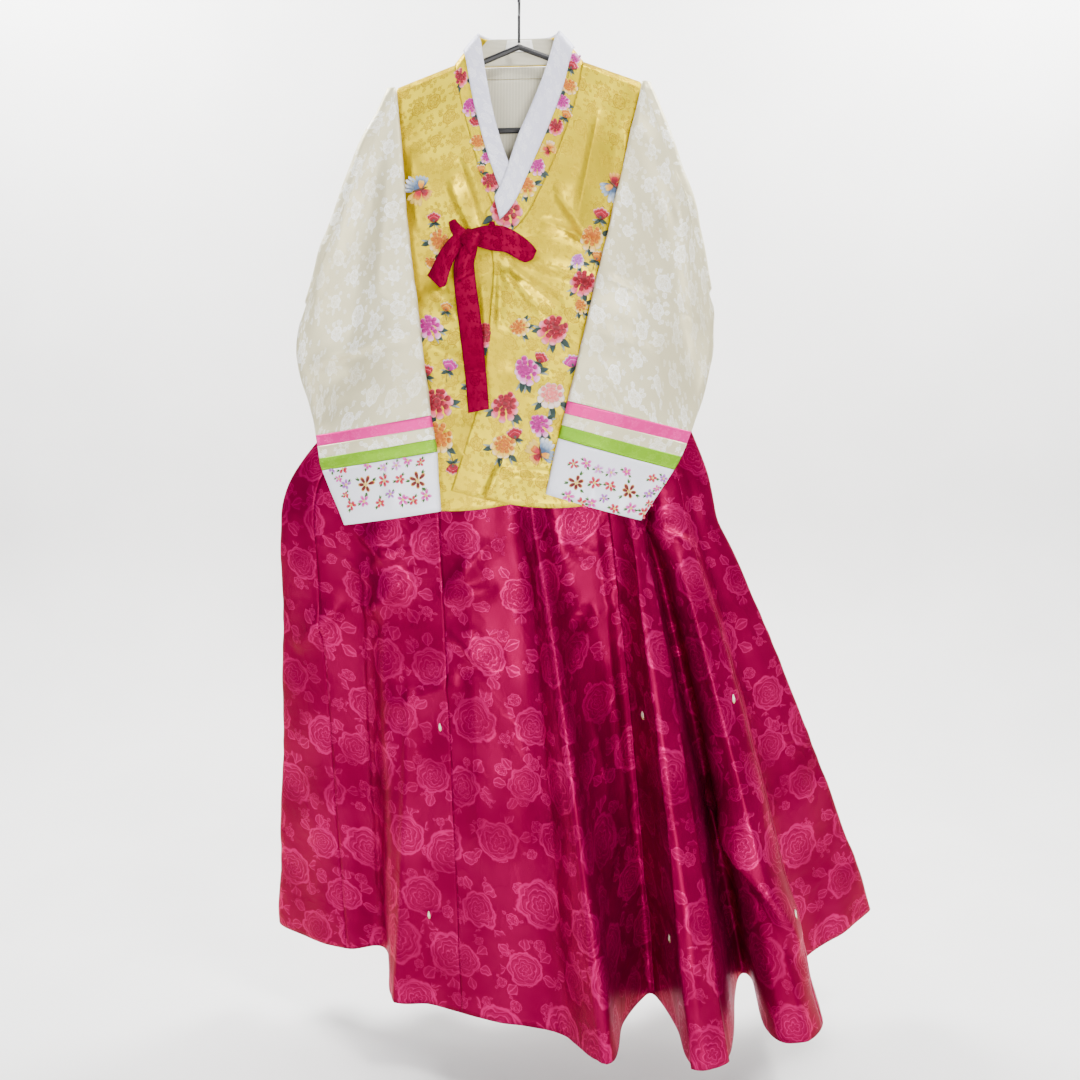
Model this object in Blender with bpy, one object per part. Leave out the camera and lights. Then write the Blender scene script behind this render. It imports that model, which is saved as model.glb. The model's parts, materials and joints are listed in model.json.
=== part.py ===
"""A Korean hanbok on a hanger: a jeogori jacket over a chima skirt.

Metres, +Z up, the front faces -Y. The origin is where the hanger's hook rests on a rail. Each piece of
cloth is a thin wall on a grid of points, worked out from the sizes and tables below, and each piece is
one object. In every grid, rows run down and columns run from left to right as seen from outside.
"""

import math
from collections import namedtuple

import bmesh
import bpy
from mathutils import Vector

# Cloth and seams
WALL = 0.0016
BAND_WALL = 0.0024
SEAM_GAP = 0.0003
LAYER = 0.0024  # from one piece to another laid flat on it
LAY_DOWN_X = 0.170  # where the outer front has come down to the height of the inner one
LAY_DOWN_WIDTH = 0.060

# The hanger and its hook
HOOK_RADIUS = 0.021  # to the middle of the wire
HOOK_WIRE = 0.002
HOOK_STEM_FOOT = -0.0748
HOOK_STEM = 0.012  # the straight foot of the wire
HOOK_TURN = 205  # degrees, where the bend ends
ARM_RADIUS = 0.0041
ARM_APEX_Z = -0.080
ARM_SLOPE = math.radians(20)
ARM_REACH = 0.128
END_INSET = 0.010  # from the reach of the arms back to the middle of the round ends
END_RADIUS = 0.032
HANG_LEAN = 0.024  # the hanger's right side is this much higher for each metre to the right

# The shoulders, the armholes and the side vents of the jacket
NECK_X = 0.088
SHOULDER_X = 0.168
NECK_Z = -0.102
SHOULDER_Z = -0.130
NECK_TURN = 0.012  # the width beside the neck over which that turn starts
SHOULDER_ROUND = 0.010  # how far below the shoulder line the cloth has turned down
ARMPIT_X = 0.222
ARMPIT_Z = -0.365

# The skirt
WAIST_TOP = -0.262
WAIST_FOOT = -0.345
FLARE_TOP = -0.500  # the skirt spreads out of the jacket's side vents between these heights
FLARE_FOOT = -0.720
HIP_Z = -0.735
HIP_TO_HEM = 0.745
SKIRT_INSET = 0.024  # the skirt's waist, inside the jacket at each side
WAIST_INSET = 0.013  # and in front and behind
WAIST_EDGE = 0.0035
PLEAT_DEPTH = 0.0024
PLEAT_PITCH = 1.33  # folds from one pleat to the next
PLEAT_FADE = 0.012  # the pleats fade out where the band is nearer than this to its side edges
HEM_EASE = 0.88  # how soon the folds spread below the hip: 1 is evenly
FRONT_FOLDS = 24  # rows of FOLDS in front, before those of the back
LAP_INSET = 0.005
LAP_SLOPE_STEPS = 2

# How wide the jacket is at each height, and how far its front and back stand off the hanger's plane
Level = namedtuple("Level", "z mid half edge front back")
BODY_LEVELS = [
    Level(-0.100, 0.000, 0.160, 0.005, 0.012, 0.013),
    Level(-0.130, 0.000, 0.168, 0.005, 0.014, 0.014),
    Level(-0.165, 0.000, 0.176, 0.005, 0.018, 0.016),
    Level(-0.200, 0.000, 0.184, 0.005, 0.022, 0.018),
    Level(-0.270, 0.000, 0.200, 0.005, 0.028, 0.024),
    Level(-0.365, 0.000, 0.222, 0.004, 0.035, 0.032),
    Level(-0.450, 0.000, 0.234, 0.002, 0.042, 0.040),
    Level(-0.530, -0.002, 0.244, 0.002, 0.052, 0.052),
    Level(-0.600, -0.018, 0.285, 0.002, 0.062, 0.066),
    Level(-0.660, -0.028, 0.325, 0.002, 0.070, 0.076),
    Level(-0.740, -0.035, 0.350, 0.002, 0.078, 0.084),
]

# The skirt's fold lines, in front from left to right and then behind from right to left
Fold = namedtuple("Fold", "hip_x hip_y hem_x hem_y")
FOLDS = [
    Fold(-0.350, 0.006, -0.398, 0.165),
    Fold(-0.300, -0.018, -0.292, 0.112),
    Fold(-0.236, -0.022, -0.228, 0.112),
    Fold(-0.200, -0.036, -0.200, -0.008),
    Fold(-0.160, -0.038, -0.140, -0.034),
    Fold(-0.115, -0.042, -0.090, -0.058),
    Fold(-0.060, -0.048, -0.035, -0.083),
    Fold(-0.008, -0.040, 0.046, -0.118),
    Fold(0.018, -0.058, 0.118, -0.213),
    Fold(0.050, -0.044, 0.150, -0.098),
    Fold(0.090, -0.046, 0.182, -0.034),
    Fold(0.128, -0.044, 0.206, -0.016),
    Fold(0.144, -0.046, 0.228, -0.110),
    Fold(0.154, -0.052, 0.238, -0.232),
    Fold(0.164, -0.052, 0.274, -0.230),
    Fold(0.171, -0.042, 0.306, -0.150),
    Fold(0.176, -0.024, 0.336, 0.004),
    Fold(0.184, -0.022, 0.358, 0.002),
    Fold(0.194, -0.036, 0.352, -0.130),
    Fold(0.212, -0.040, 0.376, -0.188),
    Fold(0.236, -0.034, 0.430, -0.145),
    Fold(0.250, -0.020, 0.440, 0.028),
    Fold(0.268, -0.014, 0.540, 0.096),
    Fold(0.284, 0.004, 0.582, 0.136),
    Fold(0.256, 0.024, 0.520, 0.205),
    Fold(0.215, 0.040, 0.430, 0.150),
    Fold(0.168, 0.046, 0.345, 0.225),
    Fold(0.118, 0.050, 0.250, 0.165),
    Fold(0.068, 0.055, 0.160, 0.235),
    Fold(0.016, 0.052, 0.062, 0.170),
    Fold(-0.040, 0.056, -0.040, 0.230),
    Fold(-0.100, 0.052, -0.140, 0.165),
    Fold(-0.160, 0.050, -0.232, 0.225),
    Fold(-0.218, 0.042, -0.312, 0.170),
    Fold(-0.276, 0.034, -0.378, 0.215),
    Fold(-0.328, 0.022, -0.418, 0.192),
]
STEPS_PER_FOLD = 3
UPPER_LEVELS = [WAIST_FOOT - SEAM_GAP, -0.450, -0.540, -0.600, -0.665]
LOWER_SHARES = [0.0, 0.16, 0.36, 0.58, 0.80, 1.0]
# The fold rows at which one skirt width is sewn to the next; the last one closes behind, under the first
PANEL_FOLDS = [31, 37, 41, 47, 52, 56, 62]

# The collar band in front, from its foot up to the shoulder: the layer says how many cloths it lies over
Band = namedtuple("Band", "inner_x inner_z outer_x outer_z layer")
GIT_RIGHT = [
    Band(-0.0460, -0.3060, -0.0400, -0.3415, 2),
    Band(-0.0330, -0.2900, -0.0210, -0.3390, 2),
    Band(-0.0180, -0.2600, 0.0060, -0.3170, 2),
    Band(0.0010, -0.2080, 0.0310, -0.2730, 2),
    Band(0.0190, -0.1680, 0.0560, -0.2180, 2),
    Band(0.0380, -0.1220, 0.0770, -0.1600, 2),
    Band(0.0490, -0.0860, 0.0860, -0.1180, 2),
    Band(0.0530, -0.0720, 0.0875, -0.1060, 2),
]
GIT_LEFT = [
    Band(0.0250, -0.3100, -0.0050, -0.3380, 0),
    Band(-0.0020, -0.2700, -0.0340, -0.3000, 0),
    Band(-0.0200, -0.2300, -0.0550, -0.2450, 0),
    Band(-0.0350, -0.1800, -0.0705, -0.1900, 0),
    Band(-0.0455, -0.1300, -0.0810, -0.1500, 0),
    Band(-0.0520, -0.0900, -0.0860, -0.1180, 0),
    Band(-0.0540, -0.0740, -0.0875, -0.1060, 0),
]
# Round the back of the neck the band stands up on the back's edge: from right to left
Stand = namedtuple("Stand", "inner_x inner_y inner_z outer_x")
GIT_BACK = [
    Stand(0.0550, 0.0000, -0.0660, 0.0880),
    Stand(0.0460, 0.0240, -0.0620, 0.0740),
    Stand(0.0260, 0.0330, -0.0610, 0.0400),
    Stand(0.0000, 0.0350, -0.0610, 0.0000),
    Stand(-0.0260, 0.0330, -0.0610, -0.0400),
    Stand(-0.0460, 0.0240, -0.0620, -0.0740),
    Stand(-0.0550, 0.0000, -0.0660, -0.0880),
]
COLLAR_SHARES = [1.0, 0.78, 0.56, 0.28, 0.0, -0.06]  # across the band: the strip takes the last four

# Heights on the armhole of the lines across the fronts that start at the collar
ARMHOLE_STEPS = [-0.130, -0.134, -0.142, -0.160, -0.195, -0.240, -0.290, -0.335, -0.364]

# Below the collar each row is a line across a front, and sag is how far its middle dips
Across = namedtuple("Across", "left_x left_z right_x right_z sag")
FRONT_OUTER = [
    Across(-0.0360, -0.3800, 0.2285, -0.4100, 0.000),
    Across(-0.0400, -0.4350, 0.2360, -0.4700, 0.002),
    Across(-0.0460, -0.5000, 0.2420, -0.5300, 0.004),
    Across(-0.0560, -0.5620, 0.2360, -0.5850, 0.008),
    Across(-0.0750, -0.6250, 0.2240, -0.6350, 0.014),
    Across(-0.0950, -0.6850, 0.2080, -0.6850, 0.028),
]
FRONT_INNER = [
    Across(-0.2285, -0.4100, 0.0620, -0.3800, 0.000),
    Across(-0.2340, -0.4500, 0.0620, -0.4300, 0.002),
    Across(-0.2400, -0.5000, 0.0600, -0.4900, 0.004),
    Across(-0.2440, -0.5300, 0.0570, -0.5500, 0.006),
    Across(-0.2440, -0.5850, 0.0530, -0.6000, 0.010),
    Across(-0.2440, -0.6350, 0.0480, -0.6500, 0.016),
    Across(-0.2420, -0.6850, 0.0420, -0.6950, 0.024),
]
# The back: half its width and the height of its side at each line across
Half = namedtuple("Half", "x z")
BACK_SIDES = [
    Half(0.2285, -0.4100),
    Half(0.2360, -0.4700),
    Half(0.2430, -0.5300),
    Half(0.2440, -0.5850),
    Half(0.2400, -0.6350),
    Half(0.2360, -0.6850),
]
BACK_SAG = 0.018
BACK_COLUMNS = 10

# Each row is a line across a flat sleeve, from its straight top fold to its curved lower edge
Ring = namedtuple("Ring", "top_x top_z low_x low_z bow puff")
SLEEVE_TURN = 0.0085  # radius of the fold that brings the sleeve over the front
SLEEVE_EDGE = 0.0036  # half the sleeve's depth at its edges
SLEEVE_CLEAR = 0.0030
ARMHOLE_EDGE = 0.003
ARMHOLE_PUFF = 0.0058
RING_CAP = 0.8  # how round the edges of the flat rings are: 1 is a half circle
RIGHT_FOLD = Ring(0.1785, -0.1345, 0.2680, -0.4150, 0.008, 0.005)
RIGHT_SLEEVE = [
    Ring(0.1670, -0.1500, 0.2720, -0.4400, 0.006, 0.006),
    Ring(0.1530, -0.2100, 0.2720, -0.4680, 0.004, 0.008),
    Ring(0.1380, -0.2750, 0.2720, -0.5000, 0.002, 0.010),
    Ring(0.1220, -0.3450, 0.2670, -0.5350, 0.000, 0.011),
    Ring(0.1040, -0.4200, 0.2590, -0.5680, 0.000, 0.011),
    Ring(0.0860, -0.4980, 0.2490, -0.5950, 0.000, 0.010),
    Ring(0.0700, -0.5670, 0.2420, -0.6130, 0.000, 0.009),
]
RIGHT_BANDS = [
    Ring(0.0655, -0.5830, 0.2345, -0.6290, 0.000, 0.009),
    Ring(0.0610, -0.5990, 0.2255, -0.6470, 0.000, 0.009),
    Ring(0.0570, -0.6155, 0.2160, -0.6635, 0.000, 0.009),
    Ring(0.0400, -0.6930, 0.1680, -0.7330, 0.000, 0.008),
]
LEFT_FOLD = Ring(-0.1785, -0.1345, -0.3000, -0.4200, 0.004, 0.005)
LEFT_SLEEVE = [
    Ring(-0.1680, -0.1560, -0.3080, -0.4460, 0.003, 0.006),
    Ring(-0.1620, -0.2250, -0.3150, -0.4720, 0.002, 0.008),
    Ring(-0.1570, -0.2950, -0.3140, -0.5000, 0.000, 0.010),
    Ring(-0.1500, -0.3700, -0.3080, -0.5300, 0.000, 0.011),
    Ring(-0.1410, -0.4450, -0.3000, -0.5580, 0.000, 0.011),
    Ring(-0.1320, -0.5200, -0.2930, -0.5850, 0.000, 0.010),
    Ring(-0.1240, -0.5820, -0.2880, -0.6060, 0.000, 0.009),
]
LEFT_BANDS = [
    Ring(-0.1215, -0.5970, -0.2840, -0.6210, 0.000, 0.009),
    Ring(-0.1190, -0.6140, -0.2800, -0.6380, 0.000, 0.009),
    Ring(-0.1160, -0.6300, -0.2750, -0.6530, 0.000, 0.009),
    Ring(-0.1110, -0.7130, -0.2420, -0.7300, 0.000, 0.008),
]
SLEEVE_STEPS = 4

# The ties: each row is a line across a flat strip, with its height off the jacket
Strip = namedtuple("Strip", "left_x left_z right_x right_z lift")
GOREUM_TAIL = [
    Strip(-0.0830, -0.3610, -0.0590, -0.3600, 0.010),
    Strip(-0.0880, -0.3850, -0.0620, -0.3820, 0.011),
    Strip(-0.0860, -0.4300, -0.0560, -0.4260, 0.010),
    Strip(-0.0790, -0.4900, -0.0480, -0.4860, 0.009),
    Strip(-0.0720, -0.5550, -0.0430, -0.5520, 0.008),
    Strip(-0.0680, -0.5780, -0.0420, -0.5750, 0.008),
]
GOREUM_END = [
    Strip(-0.0800, -0.3330, -0.0850, -0.3520, 0.013),
    Strip(-0.0960, -0.3440, -0.0930, -0.3700, 0.016),
    Strip(-0.1130, -0.3660, -0.1000, -0.3860, 0.016),
    Strip(-0.1230, -0.3900, -0.1080, -0.4050, 0.014),
]
GOREUM_LOOP = [
    Strip(-0.0510, -0.3340, -0.0510, -0.3500, 0.015),
    Strip(-0.0300, -0.3290, -0.0270, -0.3610, 0.020),
    Strip(-0.0050, -0.3420, -0.0080, -0.3660, 0.020),
    Strip(0.0110, -0.3590, 0.0040, -0.3690, 0.014),
    Strip(-0.0060, -0.3440, -0.0090, -0.3640, 0.009),
    Strip(-0.0300, -0.3340, -0.0270, -0.3560, 0.008),
    Strip(-0.0510, -0.3360, -0.0500, -0.3500, 0.008),
]
GOREUM_KNOT_CENTRE = (-0.0660, -0.3430)
GOREUM_KNOT_SIZE = (0.0130, 0.0090, 0.0140)
GOREUM_KNOT_LIFT = 0.010

# The linings behind the neck: their top and foot, and half their width
LINING_PIECES = [("yoke_lining", -0.1028, -0.1180, 0.064), ("back_lining", -0.1186, -0.2560, 0.074)]
LINING_GAP = 0.0008

STRAP_X = 0.112
STRAP_WIDTH = 0.030
STRAP_Z = -0.200  # where the strap has left the arm and hangs straight
STRAP_Y = 0.0085
STRAP_FOOT_Y = 0.0105
LABEL_HALF = 0.025
LABEL_SHARES = (0.50, 0.92)  # up the inside of the standing collar

COLOURS = {
    "yellow satin": (0.72, 0.50, 0.09, 1, 0.38),
    "ivory satin": (0.72, 0.66, 0.50, 1, 0.42),
    "white satin": (0.78, 0.77, 0.82, 1, 0.45),
    "pink satin": (0.80, 0.13, 0.32, 1, 0.42),
    "green satin": (0.30, 0.52, 0.08, 1, 0.42),
    "crimson ribbon": (0.27, 0.004, 0.035, 1, 0.5),
    "magenta satin": (0.42, 0.0, 0.09, 1, 0.35),
    "cream lining": (0.62, 0.58, 0.44, 1, 0.7),
    "black plastic": (0.01, 0.01, 0.012, 1, 0.4),
}


def clear_scene():
    for thing in list(bpy.data.objects):
        bpy.data.objects.remove(thing, do_unlink=True)


def material(name):
    made = bpy.data.materials.get(name)
    if made is None:
        red, green, blue, alpha, roughness = COLOURS[name]
        made = bpy.data.materials.new(name)
        made.use_nodes = True
        surface = made.node_tree.nodes["Principled BSDF"]
        surface.inputs["Base Color"].default_value = (red, green, blue, alpha)
        surface.inputs["Roughness"].default_value = roughness
        surface.inputs["Metallic"].default_value = 0.0
    return made


def add_object(name, data, colour):
    made = bpy.data.objects.new(name, data)
    data.materials.append(material(colour))
    bpy.context.scene.collection.objects.link(made)
    return made


def closed_mesh(name, points, faces, colour):
    """One object from points and faces, its normals turned outwards and shaded smooth."""
    mesh = bpy.data.meshes.new(name)
    work = bmesh.new()
    corners = [work.verts.new(point) for point in points]
    for face in faces:
        work.faces.new([corners[i] for i in face])
    bmesh.ops.recalc_face_normals(work, faces=work.faces)
    if work.calc_volume(signed=True) < 0:
        bmesh.ops.reverse_faces(work, faces=work.faces)
    work.to_mesh(mesh)
    work.free()
    mesh.shade_smooth()
    return add_object(name, mesh, colour)


def grid_normals(grid, wraps=False):
    """The outward normal at each point of a grid."""
    rows = len(grid)
    columns = len(grid[0])
    normals = []
    for r in range(rows):
        line = []
        for c in range(columns):
            above = grid[max(r - 1, 0)][c]
            below = grid[min(r + 1, rows - 1)][c]
            if wraps:
                before = grid[r][(c - 1) % columns]
                after = grid[r][(c + 1) % columns]
            else:
                before = grid[r][max(c - 1, 0)]
                after = grid[r][min(c + 1, columns - 1)]
            line.append((below - above).cross(after - before).normalized())
        normals.append(line)
    return normals


def sheet(name, grid, normals, colour, wall=WALL):
    """A wall of cloth with its outer face on the grid."""
    rows = len(grid)
    columns = len(grid[0])
    inner_start = rows * columns
    points = [point for line in grid for point in line]
    for r in range(rows):
        for c in range(columns):
            points.append(grid[r][c] - normals[r][c] * wall)
    faces = []
    for r in range(rows - 1):
        for c in range(columns - 1):
            for a in (r * columns + c, inner_start + r * columns + c):
                faces.append((a, a + 1, a + columns + 1, a + columns))
        for a in (r * columns, r * columns + columns - 1):
            faces.append((a, a + columns, inner_start + a + columns, inner_start + a))
    for c in range(columns - 1):
        for a in (c, (rows - 1) * columns + c):
            faces.append((a, a + 1, inner_start + a + 1, inner_start + a))
    return closed_mesh(name, points, faces, colour)


def tube(name, outer_rings, inner_rings, colour):
    """A wall between two stacks of rings, open at both ends."""
    count = len(outer_rings[0])
    rings = len(outer_rings)
    points = [point for ring in outer_rings + inner_rings for point in ring]
    faces = []
    for r in range(rings - 1):
        for c in range(count):
            after = (c + 1) % count
            for start in (r * count, (rings + r) * count):
                faces.append((start + c, start + after, start + count + after, start + count + c))
    for r in (0, rings - 1):
        for c in range(count):
            after = (c + 1) % count
            outer = r * count
            inner = (rings + r) * count
            faces.append((outer + c, outer + after, inner + after, inner + c))
    return closed_mesh(name, points, faces, colour)


def between(table, key, value):
    """A row of a table, interpolated at a value of its falling first column."""
    if value >= getattr(table[0], key):
        return table[0]
    for upper, lower in zip(table, table[1:]):
        if value >= getattr(lower, key):
            share = (getattr(upper, key) - value) / (getattr(upper, key) - getattr(lower, key))
            return type(upper)(*(a + (b - a) * share for a, b in zip(upper, lower)))
    return table[-1]


def lean(x):
    return x * HANG_LEAN


def armhole_x(z):
    """Half the width between the armholes, at each height."""
    return SHOULDER_X + (ARMPIT_X - SHOULDER_X) * (SHOULDER_Z - z) / (SHOULDER_Z - ARMPIT_Z)


def shoulder_z(x):
    """The shoulder line, which is level across the neck."""
    over = max(0.0, (abs(x) - NECK_X) / (SHOULDER_X - NECK_X))
    return NECK_Z + (SHOULDER_Z - NECK_Z) * over


def stand_off(x, z, side):
    """How far the jacket stands off the hanger's plane: side is front or back."""
    level = between(BODY_LEVELS, "z", z)
    share = min(1.0, abs(x - level.mid) / level.half)
    return level.edge + getattr(level, side) * (1 - share ** 3)


def turned_down(x, z):
    """From 0 on the shoulder line, where front and back meet, to 1 below it. The neck's edge stays open."""
    below = min(1.0, max(0.0, shoulder_z(x) - z) / SHOULDER_ROUND)
    on_shoulder = min(1.0, max(0.0, (abs(x) - NECK_X) / NECK_TURN + 1))
    return 1 - on_shoulder * (1 - math.sqrt(below))


def on_front(x, z, lift=0.0):
    out = (stand_off(x, z, "front") + lift) * turned_down(x, z)
    return Vector((x, -out - SEAM_GAP / 2, z + lean(x)))


def on_back(x, z, lift=0.0):
    out = (stand_off(x, z, "back") + lift) * turned_down(x, z)
    return Vector((x, out + SEAM_GAP / 2, z + lean(x)))


# Hanger


def curve_tube(name, points, radius, colour, cyclic=False):
    curve = bpy.data.curves.new(name, "CURVE")
    curve.dimensions = "3D"
    curve.bevel_depth = radius
    curve.bevel_resolution = 2
    curve.use_fill_caps = True
    line = curve.splines.new("POLY")
    line.points.add(len(points) - 1)
    for spot, point in zip(line.points, points):
        spot.co = (*point, 1)
    line.use_cyclic_u = cyclic
    return add_object(name, curve, colour)


def arc(centre, radius, start, end, steps, plane):
    """Points on an arc in the XZ or YZ plane, from one angle to another in degrees."""
    points = []
    for i in range(steps + 1):
        angle = math.radians(start + (end - start) * i / steps)
        along = radius * math.cos(angle)
        up = radius * math.sin(angle)
        offset = Vector((along, 0, up)) if plane == "XZ" else Vector((0, along, up))
        points.append(centre + offset)
    return points


def build_hanger():
    end_z = ARM_APEX_Z - ARM_REACH * math.tan(ARM_SLOPE) - END_RADIUS
    slope = math.degrees(ARM_SLOPE)
    right = arc(Vector((ARM_REACH - END_INSET, 0, end_z)), END_RADIUS, 90 - slope, -90, 6, "XZ")
    left = [Vector((-point.x, 0, point.z)) for point in reversed(right)]
    path = [Vector((0, 0, ARM_APEX_Z)), *right, *left]
    path = [point + Vector((0, 0, lean(point.x))) for point in path]
    curve_tube("hanger_frame", path, ARM_RADIUS, "black plastic", cyclic=True)

    centre = Vector((0, 0, HOOK_WIRE - HOOK_RADIUS))
    bend = arc(centre, HOOK_RADIUS, -90, HOOK_TURN, 16, "YZ")
    stem = [Vector((0, 0, HOOK_STEM_FOOT)), Vector((0, 0, HOOK_STEM_FOOT + HOOK_STEM))]
    curve_tube("hanger_hook", [*stem, *bend], HOOK_WIRE, "black plastic")


# Skirt


def fold_row(index, key_x, key_y):
    row = FOLDS[index % len(FOLDS)]
    return Vector((getattr(row, key_x), getattr(row, key_y)))


def round_fold(index, share, key_x, key_y):
    """A point on a smooth line through the fold rows."""
    a, b, c, d = (fold_row(index + i, key_x, key_y) for i in (-1, 0, 1, 2))
    square = share * share
    cube = square * share
    return 0.5 * (
        2 * b + (c - a) * share + (2 * a - 5 * b + 4 * c - d) * square + (3 * b - a - 3 * c + d) * cube
    )


def waist_point(index, share, z):
    """Where a fold starts on the ring under the waistband, which is flat between front and back."""
    place = (index + share) % len(FOLDS)
    last_front = FRONT_FOLDS - 1
    if place <= last_front:
        across = -1 + 2 * place / last_front
        side = -1
    else:
        across = 1 - 2 * (place - last_front) / (len(FOLDS) - last_front)
        side = 1
    level = between(BODY_LEVELS, "z", max(z, FLARE_TOP))
    x = level.mid + (level.half - SKIRT_INSET) * across
    depth = level.front if side < 0 else level.back
    return Vector((x, side * (WAIST_EDGE + (depth - WAIST_INSET) * (1 - abs(across) ** 3))))


def skirt_point(index, share, level):
    """A point of the skirt. Levels up to the hip are heights, and below it they are shares of the drop."""
    hip = round_fold(index, share, "hip_x", "hip_y")
    if level < 0:
        waist = waist_point(index, share, level)
        fall = (WAIST_FOOT - level) / (WAIST_FOOT - HIP_Z)
        flare = max(0.0, min(1.0, (FLARE_TOP - level) / (FLARE_TOP - FLARE_FOOT)))
        spread = flare * flare * (3 - 2 * flare)
        pleat = math.cos(math.tau * (index + share) / PLEAT_PITCH) * PLEAT_DEPTH * (1 - fall)
        flat = waist.lerp(hip, spread)
        side = -1 if waist.y < 0 else 1
        return Vector((flat.x, flat.y - side * pleat * min(1.0, abs(waist.y) / PLEAT_FADE), level))
    hem = round_fold(index, share, "hem_x", "hem_y")
    flat = hip.lerp(hem, level ** HEM_EASE)
    reach = (hem - hip).length
    drop = math.sqrt(HIP_TO_HEM ** 2 - reach ** 2)
    return Vector((flat.x, flat.y, HIP_Z - drop * level))


def skirt_grid():
    """Every column of the skirt once round, and its normals."""
    grid = []
    for level in UPPER_LEVELS + LOWER_SHARES:
        line = []
        for index in range(len(FOLDS)):
            for step in range(STEPS_PER_FOLD):
                line.append(skirt_point(index, step / STEPS_PER_FOLD, level))
        grid.append(line)
    return grid, grid_normals(grid, wraps=True)


def build_skirt():
    grid, normals = skirt_grid()
    around = len(grid[0])
    panel_ends = PANEL_FOLDS[1:] + [PANEL_FOLDS[0] + len(FOLDS) + 1]
    for number, (first, last) in enumerate(zip(PANEL_FOLDS, panel_ends), 1):
        columns = range(first * STEPS_PER_FOLD, last * STEPS_PER_FOLD + 1)
        panel = []
        panel_normals = []
        for line, line_normals in zip(grid, normals):
            cut = [line[c % around].copy() for c in columns]
            sides = [line_normals[c % around] for c in columns]
            cut[0] += (cut[1] - cut[0]).normalized() * SEAM_GAP / 2
            cut[-1] += (cut[-2] - cut[-1]).normalized() * SEAM_GAP / 2
            panel.append(cut)
            panel_normals.append(sides)
        if number == len(PANEL_FOLDS):
            tuck_under(panel, panel_normals)
        sheet(f"chima_panel_{number}", panel, panel_normals, "magenta satin")


def tuck_under(panel, normals):
    """The last width passes under the first where the skirt laps behind."""
    for line, line_normals in zip(panel, normals):
        start = len(line) - STEPS_PER_FOLD - 1 - LAP_SLOPE_STEPS
        for c in range(start, len(line)):
            share = min(1.0, (c - start) / LAP_SLOPE_STEPS)
            line[c] -= line_normals[c] * LAP_INSET * share


def waist_ring(z, lift, steps):
    """The skirt's ring at a height, moved out by lift."""
    points = []
    for i in range(steps):
        place = i * len(FOLDS) / steps
        point = waist_point(int(place), place % 1, z)
        points.append(Vector((point.x, point.y, z)))
    grid = [points, [point + Vector((0, 0, -0.01)) for point in points]]
    side = grid_normals(grid, wraps=True)[0]
    return [point + normal * lift for point, normal in zip(points, side)]


def build_waistband():
    levels = [WAIST_TOP, (WAIST_TOP + WAIST_FOOT) / 2, WAIST_FOOT]
    outer = [waist_ring(z, 0.0004, 36) for z in levels]
    inner = [waist_ring(z, 0.0004 - BAND_WALL, 36) for z in levels]
    tube("chima_waistband", outer, inner, "magenta satin")


def build_straps():
    """A strap from the waistband's front, over the hanger's arm, to its back."""
    for side_name, side in (("left", -1), ("right", 1)):
        x = side * STRAP_X
        arm_z = ARM_APEX_Z - STRAP_X * math.tan(ARM_SLOPE) + lean(x)
        arm_slope = HANG_LEAN - side * math.tan(ARM_SLOPE)
        front = [Vector((0, -STRAP_FOOT_Y, WAIST_TOP + SEAM_GAP)), Vector((0, -STRAP_Y, STRAP_Z))]
        over = arc(Vector((0, 0, arm_z)), ARM_RADIUS + SEAM_GAP + WALL, 180, 0, 6, "YZ")
        back = [Vector((0, STRAP_Y, STRAP_Z)), Vector((0, STRAP_FOOT_Y, WAIST_TOP + SEAM_GAP))]
        grid = []
        for point in reversed(front + over + back):
            slope = arm_slope if point.z > STRAP_Z else 0.0
            line = []
            for offset in (-STRAP_WIDTH / 2, 0, STRAP_WIDTH / 2):
                line.append(Vector((x + offset, point.y, point.z + offset * slope)))
            grid.append(line)
        normals = [[-normal for normal in line] for line in grid_normals(grid)]
        sheet(f"chima_strap_{side_name}", grid, normals, "magenta satin")


# Jacket


def front_rows(collar, side, lower):
    """Lines across a front, as pairs of (x, z): from the collar to the armhole, then down to the hem."""
    neckline = [(side * NECK_X, NECK_Z)] + [(row.outer_x, row.outer_z) for row in reversed(collar)]
    rows = []
    for neck, z in zip(neckline, ARMHOLE_STEPS):
        hole = (side * armhole_x(z), z)
        rows.append((neck, hole, 0.0) if side > 0 else (hole, neck, 0.0))
    rows += [((row.left_x, row.left_z), (row.right_x, row.right_z), row.sag) for row in lower]
    return rows


def across_grid(rows, columns, place):
    """A grid over lines across a front, with half a seam's gap at the edges."""
    grid = []
    for (left_x, left_z), (right_x, right_z), sag in rows:
        line = []
        for c in range(columns + 1):
            share = c / columns
            x = left_x + (right_x - left_x) * share
            z = left_z + (right_z - left_z) * share - sag * math.sin(share * math.pi)
            line.append(place(x, z))
        line[0] += (line[1] - line[0]).normalized() * SEAM_GAP
        line[-1] += (line[-2] - line[-1]).normalized() * SEAM_GAP
        grid.append(line)
    return grid


def front_lift(x):
    """The outer front lies on the inner one, and comes down to the side seam."""
    return 2 * LAYER * max(0.0, min(1.0, (LAY_DOWN_X - x) / LAY_DOWN_WIDTH))


def on_outer_front(x, z):
    return on_front(x, z, front_lift(x))


def shoulder_normals(grid):
    """A grid's normals, upright along the shoulder line so that front and back meet there edge to edge."""
    normals = grid_normals(grid)
    for c, point in enumerate(grid[0]):
        if abs(point.x) > NECK_X - 0.001:
            normals[0][c] = Vector((0, 0, 1))
    return normals


def build_fronts():
    inner = across_grid(front_rows(GIT_LEFT, -1, FRONT_INNER), 8, on_front)
    sheet("front_inner", inner, shoulder_normals(inner), "yellow satin")
    outer = across_grid(front_rows(GIT_RIGHT, 1, FRONT_OUTER), 8, on_outer_front)
    sheet("front_outer", outer, shoulder_normals(outer), "yellow satin")


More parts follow.
